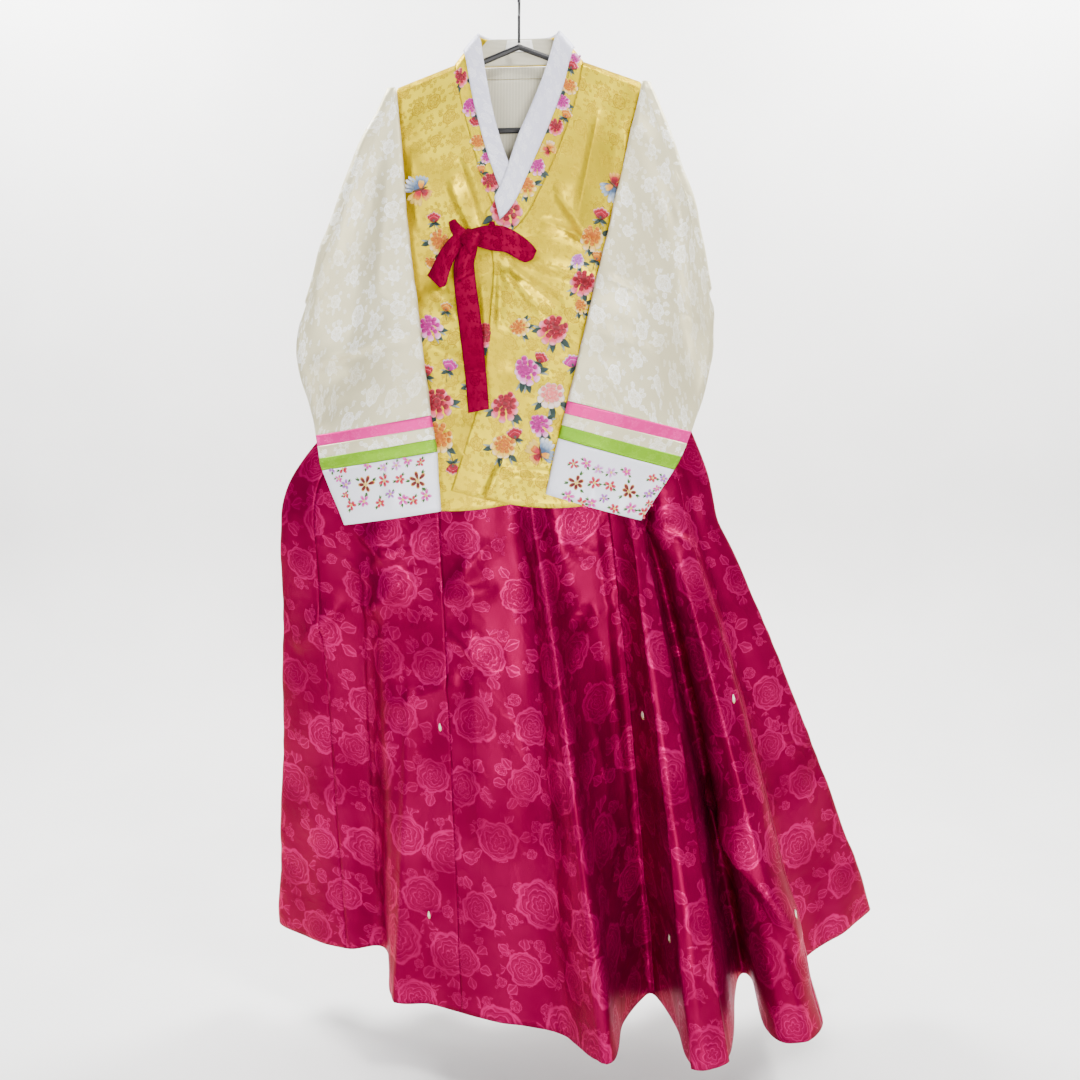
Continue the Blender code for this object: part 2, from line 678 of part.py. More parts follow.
def build_back():
    sides = [Half(armhole_x(z), z) for z in ARMHOLE_STEPS] + BACK_SIDES
    foot = sides[-1].z
    grid = []
    for row in sides:
        share = (SHOULDER_Z - row.z) / (SHOULDER_Z - foot)
        line = []
        for c in range(BACK_COLUMNS + 1):
            across = 1 - 2 * c / BACK_COLUMNS
            x = row.x * across
            top = shoulder_z(SHOULDER_X * across)
            sag = BACK_SAG * share * math.cos(across * math.pi / 2)
            line.append(on_back(x, top + (foot - top) * share - sag))
        grid.append(line)
    sheet("back", grid, shoulder_normals(grid), "yellow satin")


def collar_grid():
    """The collar band's outer face, from its lapped foot right round the neck to its hidden foot."""
    rows = []
    for row in GIT_RIGHT:
        lift = row.layer * LAYER
        rows.append((on_front(row.inner_x, row.inner_z, lift), on_front(row.outer_x, row.outer_z, lift)))
    for row in GIT_BACK:
        inner = Vector((row.inner_x, row.inner_y, row.inner_z + lean(row.inner_x)))
        outer = on_back(row.outer_x, NECK_Z + 2 * SEAM_GAP)
        rows.append((inner, outer))
    for row in reversed(GIT_LEFT):
        rows.append((on_front(row.inner_x, row.inner_z), on_front(row.outer_x, row.outer_z)))
    return [[inner.lerp(outer, share) for share in COLLAR_SHARES] for inner, outer in rows]


def moved_out(grid, normals, lift):
    moved = []
    for line, line_normals in zip(grid, normals):
        moved.append([point + normal * lift for point, normal in zip(line, line_normals)])
    return moved


def build_collar():
    grid = collar_grid()
    normals = grid_normals(grid)
    band = [line[:-1] for line in grid]
    band_normals = [line[:-1] for line in normals]
    sheet("git", band, band_normals, "yellow satin")

    strip_rows = slice(1, len(grid) - 1)
    strip = [line[2:] for line in grid[strip_rows]]
    strip_normals = [line[2:] for line in normals[strip_rows]]
    strip = moved_out(strip, strip_normals, WALL + 2 * SEAM_GAP)
    sheet("dongjeong", strip, strip_normals, "white satin")
    build_collar_lining(band, band_normals)


def build_collar_lining(band, normals):
    """The cream lining inside the standing collar, and a plain tab on it."""
    first = len(GIT_RIGHT)
    behind = slice(first + 1, first + len(GIT_BACK) - 1)
    lining = moved_out(band[behind], normals[behind], -WALL - SEAM_GAP)
    sheet("collar_lining", lining, normals[behind], "cream lining")

    middle = len(lining) // 2
    faces = moved_out(lining, normals[behind], -WALL - SEAM_GAP)
    tab = []
    for neighbour in (middle - 1, middle, middle + 1):
        line = []
        for share in LABEL_SHARES:
            centre = faces[middle][0].lerp(faces[middle][-1], share)
            beside = faces[neighbour][0].lerp(faces[neighbour][-1], share)
            reach = LABEL_HALF / abs(beside.x - centre.x) if neighbour != middle else 0.0
            line.append(centre.lerp(beside, reach))
        tab.append(line)
    sheet("neck_label", tab, grid_normals(tab), "white satin", WALL / 2)


def build_lining():
    """The yoke and the lining of the back, where they show through the neck."""
    for name, top, foot, half in LINING_PIECES:
        grid = []
        for r in range(4):
            z = top + (foot - top) * r / 3
            grid.append([on_back(half - 2 * half * c / 6, z, -WALL - LINING_GAP) for c in range(7)])
        sheet(name, grid, grid_normals(grid), "cream lining")


def build_jacket():
    build_fronts()
    build_back()
    build_collar()
    build_lining()


# Sleeves


def ring_line(ring, share):
    """A point of the line across the sleeve and the outward direction of its bow."""
    top = Vector((ring.top_x, 0, ring.top_z))
    low = Vector((ring.low_x, 0, ring.low_z))
    out = (low - top).normalized()
    outward = Vector((-out.z, 0, out.x)) if ring.low_x > 0 else Vector((out.z, 0, -out.x))
    return top.lerp(low, share) + outward * ring.bow * math.sin(share * math.pi), outward


def sleeve_ring(ring, turn, inset, centre_of):
    """A flat ring across the sleeve. Turn is 0 before the fold and 180 degrees after it."""
    points = []
    top = Vector((ring.top_x, 0, ring.top_z))
    low = Vector((ring.low_x, 0, ring.low_z))
    along = (low - top).normalized()
    angle = math.radians(turn)
    for face in (1, -1):
        steps = range(SLEEVE_STEPS + 1) if face > 0 else range(SLEEVE_STEPS, -1, -1)
        for step in steps:
            share = step / SLEEVE_STEPS
            middle, outward = ring_line(ring, share)
            half = SLEEVE_EDGE + (ring.puff - SLEEVE_EDGE) * math.sin(share * math.pi) - inset
            away = outward * math.sin(angle) + Vector((0, 1, 0)) * math.cos(angle)
            centre = centre_of(middle, outward, angle, ring.puff)
            end_pull = along * inset * (1 if step == 0 else -1 if step == SLEEVE_STEPS else 0)
            points.append(centre + away * half * face + end_pull)
        cap_share = 1.0 if face > 0 else 0.0
        middle, outward = ring_line(ring, cap_share)
        centre = centre_of(middle, outward, angle, ring.puff)
        points.append(centre + along * (SLEEVE_EDGE - inset) * RING_CAP * face)
    return points


def centre_at_fold(middle, outward, angle, puff):
    """The middle of the cloth while it turns over the fold."""
    turned = middle + outward * SLEEVE_TURN * (math.sin(angle) - 1)
    return turned + Vector((0, -SLEEVE_TURN * (1 - math.cos(angle)), lean(middle.x)))


def centre_on_front(middle, outward, angle, puff):
    """The middle of the cloth where it lies over the jacket's front."""
    on_top = front_lift(middle.x) if middle.x > 0 else 0.0
    over = stand_off(middle.x, middle.z, "front") + on_top + SLEEVE_CLEAR + puff
    depth = max(2 * SLEEVE_TURN, over)
    return middle + Vector((0, -depth, lean(middle.x)))


def centre_at_armhole(middle, outward, angle, puff):
    return middle + Vector((0, 0, lean(middle.x)))


def armhole(side):
    """The ring where the sleeve is sewn to the front and the back."""
    gap = 3 * SEAM_GAP
    top_x = side * (SHOULDER_X + gap)
    low_x = side * (ARMPIT_X + gap)
    return Ring(top_x, SHOULDER_Z - ARMHOLE_EDGE, low_x, ARMPIT_Z, 0.0, ARMHOLE_PUFF)


def build_sleeve(side_name, side, fold, rows, bands):
    stations = [(armhole(side), 0, centre_at_armhole)]
    for turn in (0, 45, 90, 135, 180):
        stations.append((fold, turn, centre_at_fold))
    stations += [(ring, 180, centre_on_front) for ring in rows]

    def rings(some, inset):
        return [sleeve_ring(ring, turn, inset, centre_of) for ring, turn, centre_of in some]

    tube(f"sleeve_{side_name}", rings(stations, 0), rings(stations, WALL), "ivory satin")
    names = ("band_pink", "band_cream", "band_green", "cuff")
    colours = ("pink satin", "ivory satin", "green satin", "white satin")
    for name, colour, upper, lower in zip(names, colours, [rows[-1], *bands], bands):
        pair = [parted(upper, lower), lower]
        made = [(ring, 180, centre_on_front) for ring in pair]
        tube(f"{name}_{side_name}", rings(made, 0), rings(made, WALL), colour)


def parted(upper, lower):
    """The upper ring moved towards the lower one by a seam's gap."""
    drop = math.hypot(upper.top_x - lower.top_x, upper.top_z - lower.top_z)
    share = SEAM_GAP / drop
    return Ring(*(a + (b - a) * share for a, b in zip(upper, lower)))


# Ties


def strip_grid(rows, columns=3):
    grid = []
    for row in rows:
        line = []
        for c in range(columns + 1):
            share = c / columns
            x = row.left_x + (row.right_x - row.left_x) * share
            z = row.left_z + (row.right_z - row.left_z) * share
            line.append(on_front(x, z, 2 * LAYER + row.lift))
        grid.append(line)
    return grid


def build_ties():
    strips = (("goreum_tail", GOREUM_TAIL), ("goreum_end", GOREUM_END), ("goreum_loop", GOREUM_LOOP))
    for name, rows in strips:
        grid = strip_grid(rows)
        sheet(name, grid, grid_normals(grid), "crimson ribbon", BAND_WALL)
    x, z = GOREUM_KNOT_CENTRE
    bpy.ops.mesh.primitive_uv_sphere_add(segments=14, ring_count=8, radius=1)
    knot = bpy.context.object
    knot.name = "goreum_knot"
    knot.scale = GOREUM_KNOT_SIZE
    knot.location = on_front(x, z, 2 * LAYER + GOREUM_KNOT_LIFT)
    knot.data.materials.append(material("crimson ribbon"))
    knot.data.shade_smooth()


def main():
    clear_scene()
    build_hanger()
    build_skirt()
    build_waistband()
    build_straps()
    build_jacket()
    build_sleeve("right", 1, RIGHT_FOLD, RIGHT_SLEEVE, RIGHT_BANDS)
    build_sleeve("left", -1, LEFT_FOLD, LEFT_SLEEVE, LEFT_BANDS)
    build_ties()


main()
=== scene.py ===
"""The looks of a Korean hanbok on a hanger: satin, woven roses, embroidery and tied ribbon.

Metres, +Z up, the front faces -Y. Each cloth is a thin shell on a grid of points, whose rows run down and
whose columns run from left to right as seen from outside. Patterns follow the cloth's own UV map, in metres.
"""

import json
import math
from collections import namedtuple

import bmesh
import bpy
import numpy as np
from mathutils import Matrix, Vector
from mathutils.bvhtree import BVHTree

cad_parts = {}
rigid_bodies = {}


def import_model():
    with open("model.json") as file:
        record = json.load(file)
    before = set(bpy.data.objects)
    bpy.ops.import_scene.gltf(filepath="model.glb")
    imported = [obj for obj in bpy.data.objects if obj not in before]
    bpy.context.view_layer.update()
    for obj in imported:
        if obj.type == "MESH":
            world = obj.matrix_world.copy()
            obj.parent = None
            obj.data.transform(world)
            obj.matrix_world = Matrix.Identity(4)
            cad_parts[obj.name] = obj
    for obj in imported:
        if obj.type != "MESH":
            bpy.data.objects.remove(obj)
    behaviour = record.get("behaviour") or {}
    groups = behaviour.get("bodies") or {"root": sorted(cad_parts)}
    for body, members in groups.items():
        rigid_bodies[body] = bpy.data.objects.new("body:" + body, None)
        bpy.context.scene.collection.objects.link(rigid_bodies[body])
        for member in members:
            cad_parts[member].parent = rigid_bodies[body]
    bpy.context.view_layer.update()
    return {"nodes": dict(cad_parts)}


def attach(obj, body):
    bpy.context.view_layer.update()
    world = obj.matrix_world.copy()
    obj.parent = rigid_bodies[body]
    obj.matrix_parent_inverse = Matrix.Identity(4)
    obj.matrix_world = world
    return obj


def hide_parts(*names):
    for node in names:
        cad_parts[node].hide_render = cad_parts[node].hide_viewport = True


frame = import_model()

# Cloth and seams
WALL = 0.0016  # of the lined cloth, as the pieces lie on each other
SEAM_GAP = 0.0003
LAYER = 0.0024  # from one piece to another laid flat on it
LAY_DOWN_X = 0.170  # where the outer front has come down to the height of the inner one
LAY_DOWN_WIDTH = 0.060

# The hanger's arms, which carry the straps
ARM_RADIUS = 0.0041
ARM_APEX_Z = -0.080
ARM_SLOPE = math.radians(20)
HANG_LEAN = 0.024  # the hanger's right side is this much higher for each metre to the right

# The shoulders, the armholes and the side vents of the jacket
NECK_X = 0.088
SHOULDER_X = 0.168
NECK_Z = -0.102
SHOULDER_Z = -0.130
NECK_TURN = 0.012  # the width beside the neck over which that turn starts
SHOULDER_ROUND = 0.010  # how far below the shoulder line the cloth has turned down
ARMPIT_X = 0.222
ARMPIT_Z = -0.365

# The skirt
WAIST_TOP = -0.262
WAIST_FOOT = -0.345
FLARE_TOP = -0.500  # the skirt spreads out of the jacket's side vents between these heights
FLARE_FOOT = -0.720
HIP_Z = -0.735
HIP_TO_HEM = 0.745
SKIRT_INSET = 0.024  # the skirt's waist, inside the jacket at each side
WAIST_INSET = 0.013  # and in front and behind
WAIST_EDGE = 0.0035
PLEAT_DEPTH = 0.0024
PLEAT_PITCH = 1.33  # folds from one pleat to the next
PLEAT_FADE = 0.012  # the pleats fade out where the band is nearer than this to its side edges
HEM_EASE = 0.88  # how soon the folds spread below the hip: 1 is evenly
FRONT_FOLDS = 24  # rows of FOLDS in front, before those of the back
LAP_INSET = 0.005  # how far the last panel passes under the first
LAP_FOLDS = 2.6  # and over how many folds, the first of them sloping in
SEAM_SHARE = 0.004  # how far a panel stops short of its seam, in columns
SEAM_DIP = 0.0003
SEAM_DIP_COLUMNS = 2.0
SKIRT_EASING = 10  # passes that ease each row towards its neighbours

# How wide the jacket is at each height, and how far its front and back stand off the hanger's plane
Level = namedtuple("Level", "z mid half edge front back")
BODY_LEVELS = [
    Level(-0.100, 0.000, 0.160, 0.005, 0.012, 0.013),
    Level(-0.130, 0.000, 0.168, 0.005, 0.014, 0.014),
    Level(-0.165, 0.000, 0.176, 0.005, 0.018, 0.016),
    Level(-0.200, 0.000, 0.184, 0.005, 0.022, 0.018),
    Level(-0.270, 0.000, 0.200, 0.005, 0.028, 0.024),
    Level(-0.365, 0.000, 0.222, 0.004, 0.035, 0.032),
    Level(-0.450, 0.000, 0.234, 0.002, 0.042, 0.040),
    Level(-0.530, -0.002, 0.244, 0.002, 0.052, 0.052),
    Level(-0.600, -0.018, 0.285, 0.002, 0.062, 0.066),
    Level(-0.660, -0.028, 0.325, 0.002, 0.070, 0.076),
    Level(-0.740, -0.035, 0.350, 0.002, 0.078, 0.084),
]

# The skirt's fold lines, in front from left to right and then behind from right to left
Fold = namedtuple("Fold", "hip_x hip_y hem_x hem_y")
FOLDS = [
    Fold(-0.350, 0.006, -0.398, 0.165),
    Fold(-0.300, -0.018, -0.292, 0.112),
    Fold(-0.236, -0.022, -0.228, 0.112),
    Fold(-0.200, -0.036, -0.200, -0.008),
    Fold(-0.160, -0.038, -0.140, -0.034),
    Fold(-0.115, -0.042, -0.090, -0.058),
    Fold(-0.060, -0.048, -0.035, -0.083),
    Fold(-0.008, -0.040, 0.046, -0.118),
    Fold(0.018, -0.058, 0.118, -0.213),
    Fold(0.050, -0.044, 0.150, -0.098),
    Fold(0.090, -0.046, 0.182, -0.034),
    Fold(0.128, -0.044, 0.206, -0.016),
    Fold(0.144, -0.046, 0.228, -0.110),
    Fold(0.154, -0.052, 0.238, -0.232),
    Fold(0.164, -0.052, 0.274, -0.230),
    Fold(0.171, -0.042, 0.306, -0.150),
    Fold(0.176, -0.024, 0.336, 0.004),
    Fold(0.184, -0.022, 0.358, 0.002),
    Fold(0.194, -0.036, 0.352, -0.130),
    Fold(0.212, -0.040, 0.376, -0.188),
    Fold(0.236, -0.034, 0.430, -0.145),
    Fold(0.250, -0.020, 0.440, 0.028),
    Fold(0.268, -0.014, 0.540, 0.096),
    Fold(0.284, 0.004, 0.582, 0.136),
    Fold(0.256, 0.024, 0.520, 0.205),
    Fold(0.215, 0.040, 0.430, 0.150),
    Fold(0.168, 0.046, 0.345, 0.225),
    Fold(0.118, 0.050, 0.250, 0.165),
    Fold(0.068, 0.055, 0.160, 0.235),
    Fold(0.016, 0.052, 0.062, 0.170),
    Fold(-0.040, 0.056, -0.040, 0.230),
    Fold(-0.100, 0.052, -0.140, 0.165),
    Fold(-0.160, 0.050, -0.232, 0.225),
    Fold(-0.218, 0.042, -0.312, 0.170),
    Fold(-0.276, 0.034, -0.378, 0.215),
    Fold(-0.328, 0.022, -0.418, 0.192),
]
# The fold rows at which one skirt width is sewn to the next; the last one closes behind, under the first
PANEL_FOLDS = [31, 37, 41, 47, 52, 56, 62]

# The collar band in front, from its foot up to the shoulder: the layer says how many cloths it lies over
Band = namedtuple("Band", "inner_x inner_z outer_x outer_z layer")
GIT_RIGHT = [
    Band(-0.0460, -0.3060, -0.0400, -0.3415, 2),
    Band(-0.0330, -0.2900, -0.0210, -0.3390, 2),
    Band(-0.0180, -0.2600, 0.0060, -0.3170, 2),
    Band(0.0010, -0.2080, 0.0310, -0.2730, 2),
    Band(0.0190, -0.1680, 0.0560, -0.2180, 2),
    Band(0.0380, -0.1220, 0.0770, -0.1600, 2),
    Band(0.0490, -0.0860, 0.0860, -0.1180, 2),
    Band(0.0530, -0.0720, 0.0875, -0.1060, 2),
]
GIT_LEFT = [
    Band(0.0250, -0.3100, -0.0050, -0.3380, 0),
    Band(-0.0020, -0.2700, -0.0340, -0.3000, 0),
    Band(-0.0200, -0.2300, -0.0550, -0.2450, 0),
    Band(-0.0350, -0.1800, -0.0705, -0.1900, 0),
    Band(-0.0455, -0.1300, -0.0810, -0.1500, 0),
    Band(-0.0520, -0.0900, -0.0860, -0.1180, 0),
    Band(-0.0540, -0.0740, -0.0875, -0.1060, 0),
]
# Round the back of the neck the band stands up on the back's edge: from right to left
Stand = namedtuple("Stand", "inner_x inner_y inner_z outer_x")
GIT_BACK = [
    Stand(0.0550, 0.0000, -0.0660, 0.0880),
    Stand(0.0460, 0.0240, -0.0620, 0.0740),
    Stand(0.0260, 0.0330, -0.0610, 0.0400),
    Stand(0.0000, 0.0350, -0.0610, 0.0000),
    Stand(-0.0260, 0.0330, -0.0610, -0.0400),
    Stand(-0.0460, 0.0240, -0.0620, -0.0740),
    Stand(-0.0550, 0.0000, -0.0660, -0.0880),
]
STRIP_SHARES = (0.56, -0.06)  # where the white strip lies across the band: 0 is the band's inner edge
STRIP_INSET = 8  # rows from the band's ends to the strip's
EDGE_SHARE = 0.06  # the band's last column but one is this near its inner edge

# Heights on the armhole of the lines across the fronts that start at the collar
ARMHOLE_STEPS = [-0.130, -0.134, -0.142, -0.160, -0.195, -0.240, -0.290, -0.335, -0.364]

# Below the collar each row is a line across a front, and sag is how far its middle dips
Across = namedtuple("Across", "left_x left_z right_x right_z sag")
FRONT_OUTER = [
    Across(-0.0360, -0.3800, 0.2285, -0.4100, 0.000),
    Across(-0.0400, -0.4350, 0.2360, -0.4700, 0.002),
    Across(-0.0460, -0.5000, 0.2420, -0.5300, 0.004),
    Across(-0.0560, -0.5620, 0.2360, -0.5850, 0.008),
    Across(-0.0750, -0.6250, 0.2240, -0.6350, 0.014),
    Across(-0.0950, -0.6850, 0.2080, -0.6850, 0.028),
]
FRONT_INNER = [
    Across(-0.2285, -0.4100, 0.0620, -0.3800, 0.000),
    Across(-0.2340, -0.4500, 0.0620, -0.4300, 0.002),
    Across(-0.2400, -0.5000, 0.0600, -0.4900, 0.004),
    Across(-0.2440, -0.5300, 0.0570, -0.5500, 0.006),
    Across(-0.2440, -0.5850, 0.0530, -0.6000, 0.010),
    Across(-0.2440, -0.6350, 0.0480, -0.6500, 0.016),
    Across(-0.2420, -0.6850, 0.0420, -0.6950, 0.024),
]
# The back: half its width and the height of its side at each line across
Half = namedtuple("Half", "x z")
BACK_SIDES = [
    Half(0.2285, -0.4100),
    Half(0.2360, -0.4700),
    Half(0.2430, -0.5300),
    Half(0.2440, -0.5850),
    Half(0.2400, -0.6350),
    Half(0.2360, -0.6850),
]
BACK_SAG = 0.018

# Each row is a line across a flat sleeve, from its straight top fold to its curved lower edge
Ring = namedtuple("Ring", "top_x top_z low_x low_z bow puff")
SLEEVE_TURN = 0.0085  # radius of the fold that brings the sleeve over the front
SLEEVE_EDGE = 0.0036  # half the sleeve's depth at its edges
SLEEVE_CLEAR = 0.0030
ARMHOLE_EDGE = 0.003
ARMHOLE_PUFF = 0.0058
RING_CAP = 0.8  # how round the edges of the flat rings are: 1 is a half circle
RIGHT_FOLD = Ring(0.1785, -0.1345, 0.2680, -0.4150, 0.008, 0.005)
RIGHT_SLEEVE = [
    Ring(0.1670, -0.1500, 0.2720, -0.4400, 0.006, 0.006),
    Ring(0.1530, -0.2100, 0.2720, -0.4680, 0.004, 0.008),
    Ring(0.1380, -0.2750, 0.2720, -0.5000, 0.002, 0.010),
    Ring(0.1220, -0.3450, 0.2670, -0.5350, 0.000, 0.011),
    Ring(0.1040, -0.4200, 0.2590, -0.5680, 0.000, 0.011),
    Ring(0.0860, -0.4980, 0.2490, -0.5950, 0.000, 0.010),
    Ring(0.0700, -0.5670, 0.2420, -0.6130, 0.000, 0.009),
]
RIGHT_BANDS = [
    Ring(0.0655, -0.5830, 0.2345, -0.6290, 0.000, 0.009),
    Ring(0.0610, -0.5990, 0.2255, -0.6470, 0.000, 0.009),
    Ring(0.0570, -0.6155, 0.2160, -0.6635, 0.000, 0.009),
    Ring(0.0400, -0.6930, 0.1680, -0.7330, 0.000, 0.008),
]
LEFT_FOLD = Ring(-0.1785, -0.1345, -0.3000, -0.4200, 0.004, 0.005)
LEFT_SLEEVE = [
    Ring(-0.1680, -0.1560, -0.3080, -0.4460, 0.003, 0.006),
    Ring(-0.1620, -0.2250, -0.3150, -0.4720, 0.002, 0.008),
    Ring(-0.1570, -0.2950, -0.3140, -0.5000, 0.000, 0.010),
    Ring(-0.1500, -0.3700, -0.3080, -0.5300, 0.000, 0.011),
    Ring(-0.1410, -0.4450, -0.3000, -0.5580, 0.000, 0.011),
    Ring(-0.1320, -0.5200, -0.2930, -0.5850, 0.000, 0.010),
    Ring(-0.1240, -0.5820, -0.2880, -0.6060, 0.000, 0.009),
]
LEFT_BANDS = [
    Ring(-0.1215, -0.5970, -0.2840, -0.6210, 0.000, 0.009),
    Ring(-0.1190, -0.6140, -0.2800, -0.6380, 0.000, 0.009),
    Ring(-0.1160, -0.6300, -0.2750, -0.6530, 0.000, 0.009),
    Ring(-0.1110, -0.7130, -0.2420, -0.7300, 0.000, 0.008),
]
# The linings behind the neck: the name, the top, the foot and half the width of each
LINING_PIECES = [("yoke_lining", -0.1028, -0.1180, 0.064), ("back_lining", -0.1186, -0.2560, 0.074)]
LINING_GAP = 0.0008

STRAP_X = 0.112
STRAP_WIDTH = 0.030
STRAP_Z = -0.200  # where the strap has left the arm and hangs straight
STRAP_Y = 0.0085
STRAP_FOOT_Y = 0.0105
LABEL_HALF = 0.025
LABEL_COLUMNS = slice(7, 14)  # up the inside of the standing collar

# The walls of the thin cloths
CLOTH = 0.0009
COLLAR_WALL = 0.0016
STRIP_WALL = 0.0013
LINING_WALL = 0.0008
LABEL_WALL = -0.0006  # outwards from its grid
WAISTBAND_WALL = 0.0018
RIBBON_WALL = 0.0012
KNOT_WALL = 0.0016

# How fine the grids are, and how far some cloths stand off others
FRONT_ROW_STEPS = 10
INNER_COLUMNS = 70
OUTER_COLUMNS = 90
BACK_ROW_STEPS = 8
BACK_COLUMNS = 90
COLLAR_STEPS = 8
COLLAR_COLUMNS = 14
STRIP_COLUMNS = 9
COLLAR_CROWN = 0.0012
STRIP_CROWN = 0.0006
SLEEVE_SEAM_SHARE = 0.12  # how far a band stops short of the seam above it, in rows
SLEEVE_CRUMPLES = 0.7  # as a share of the jacket's
WAISTBAND_LIFT = 0.0004
STITCHES = 0.0018  # how far the white strip stands over the stitched flowers
SLEEVE_POINTS = 26
SLEEVE_ROW_STEPS = 9
SKIRT_STEPS = 14
SKIRT_UPPER_ROWS = 40
SKIRT_LOWER_ROWS = 90

# Creases: a ridge from one place to another, or a trough where the height is negative. Soft is its width on
# one side, which is the viewer's right of a crease that runs down, and sharp its width on the other.
Crease = namedtuple("Crease", "x1 z1 x2 z2 height soft sharp")
OUTER_CREASES = [
    Crease(0.045, -0.275, 0.104, -0.362, 0.0098, 0.022, 0.0035),
    Crease(0.030, -0.318, 0.120, -0.352, -0.0078, 0.004, 0.016),
    Crease(0.000, -0.372, 0.128, -0.412, 0.0087, 0.016, 0.0035),
    Crease(-0.020, -0.376, 0.070, -0.440, -0.0087, 0.004, 0.018),
    Crease(-0.020, -0.384, 0.036, -0.452, 0.0078, 0.016, 0.003),
    Crease(-0.026, -0.380, -0.030, -0.470, 0.0059, 0.010, 0.003),
    Crease(0.110, -0.170, 0.078, -0.330, 0.0068, 0.018, 0.006),
    Crease(0.148, -0.190, 0.136, -0.330, 0.0059, 0.010, 0.006),
    Crease(-0.022, -0.640, -0.050, -0.700, 0.0117, 0.020, 0.003),
    Crease(-0.024, -0.662, 0.060, -0.672, 0.0107, 0.003, 0.018),
    Crease(0.010, -0.585, 0.110, -0.660, 0.0059, 0.014, 0.006),
    Crease(-0.030, -0.520, 0.070, -0.545, -0.0043, 0.010, 0.012),
    Crease(0.060, -0.470, 0.140, -0.580, 0.0055, 0.016, 0.008),
]
INNER_CREASES = [
    Crease(-0.098, -0.262, -0.060, -0.340, 0.0083, 0.016, 0.004),
    Crease(-0.085, -0.225, -0.050, -0.330, -0.0064, 0.006, 0.014),
    Crease(-0.150, -0.215, -0.140, -0.330, 0.0083, 0.010, 0.006),
    Crease(-0.130, -0.400, -0.085, -0.452, 0.0064, 0.012, 0.004),
    Crease(-0.140, -0.420, -0.100, -0.405, 0.0074, 0.006, 0.01),
    Crease(-0.050, -0.400, -0.044, -0.520, 0.0064, 0.010, 0.006),
    Crease(-0.135, -0.480, -0.060, -0.520, -0.0046, 0.010, 0.01),
    Crease(-0.110, -0.585, -0.060, -0.665, 0.0055, 0.016, 0.006),
]
BACK_CREASES = [
    Crease(-0.150, -0.200, -0.060, -0.330, 0.0054, 0.020, 0.006),
    Crease(0.150, -0.190, 0.075, -0.300, 0.0060, 0.006, 0.018),
    Crease(-0.020, -0.140, -0.030, -0.420, 0.0036, 0.016, 0.012),
    Crease(0.070, -0.380, 0.170, -0.520, 0.0060, 0.022, 0.007),
    Crease(-0.200, -0.420, -0.080, -0.560, 0.0054, 0.008, 0.022),
    Crease(-0.120, -0.600, 0.040, -0.655, 0.0042, 0.014, 0.008),
    Crease(0.060, -0.560, 0.180, -0.640, -0.0036, 0.014, 0.012),
]
RIGHT_SLEEVE_CREASES = [
    Crease(0.112, -0.396, 0.200, -0.430, 0.0104, 0.004, 0.02),
    Crease(0.195, -0.428, 0.262, -0.455, 0.0062, 0.004, 0.018),
    Crease(0.160, -0.180, 0.230, -0.330, 0.0062, 0.030, 0.012),
    Crease(0.215, -0.250, 0.246, -0.520, 0.0074, 0.030, 0.01),
    Crease(0.108, -0.470, 0.190, -0.500, -0.0046, 0.012, 0.012),
    Crease(0.094, -0.640, 0.104, -0.710, 0.0042, 0.012, 0.006),
    Crease(0.160, -0.660, 0.146, -0.720, 0.0046, 0.010, 0.006),
]
LEFT_SLEEVE_CREASES = [
    Crease(-0.300, -0.515, -0.150, -0.476, 0.0104, 0.020, 0.004),
    Crease(-0.200, -0.170, -0.262, -0.380, 0.0074, 0.012, 0.03),
    Crease(-0.176, -0.210, -0.196, -0.430, 0.0062, 0.014, 0.01),
    Crease(-0.270, -0.330, -0.290, -0.490, 0.0062, 0.016, 0.016),
    Crease(-0.280, -0.560, -0.200, -0.552, 0.0053, 0.014, 0.008),
    Crease(-0.180, -0.640, -0.176, -0.716, 0.0046, 0.010, 0.006),
]
SKIRT_CREASES = [
    Crease(-0.220, -0.805, -0.130, -0.765, 0.0080, 0.014, 0.005),
    Crease(-0.120, -0.850, -0.030, -0.825, 0.0070, 0.006, 0.014),
    Crease(0.060, -0.770, 0.120, -0.790, 0.0070, 0.014, 0.005),
    Crease(0.100, -0.880, 0.170, -0.830, 0.0070, 0.006, 0.016),
    Crease(-0.300, -0.760, -0.200, -0.840, 0.0070, 0.014, 0.006),
    Crease(0.270, -1.125, 0.392, -1.335, 0.0223, 0.022, 0.006),
    Crease(-0.160, -0.815, -0.226, -0.885, 0.0121, 0.008, 0.018),
    Crease(-0.255, -0.855, -0.345, -0.948, 0.0121, 0.008, 0.02),
    Crease(-0.105, -0.895, -0.030, -0.960, 0.0101, 0.014, 0.006),
    Crease(-0.020, -0.925, -0.095, -0.965, -0.0072, 0.010, 0.01),
    Crease(0.170, -0.730, 0.252, -0.775, 0.0121, 0.007, 0.02),
    Crease(0.058, -0.900, 0.104, -0.860, 0.0101, 0.007, 0.014),
    Crease(-0.200, -1.010, -0.085, -0.965, 0.0081, 0.006, 0.016),
    Crease(0.096, -1.000, 0.130, -1.150, 0.0090, 0.014, 0.01),
    Crease(-0.250, -0.740, -0.180, -0.800, 0.0090, 0.016, 0.006),
    Crease(-0.040, -0.760, -0.120, -0.850, 0.0081, 0.016, 0.008),
    Crease(0.150, -1.180, 0.110, -1.290, 0.0072, 0.014, 0.014),
]
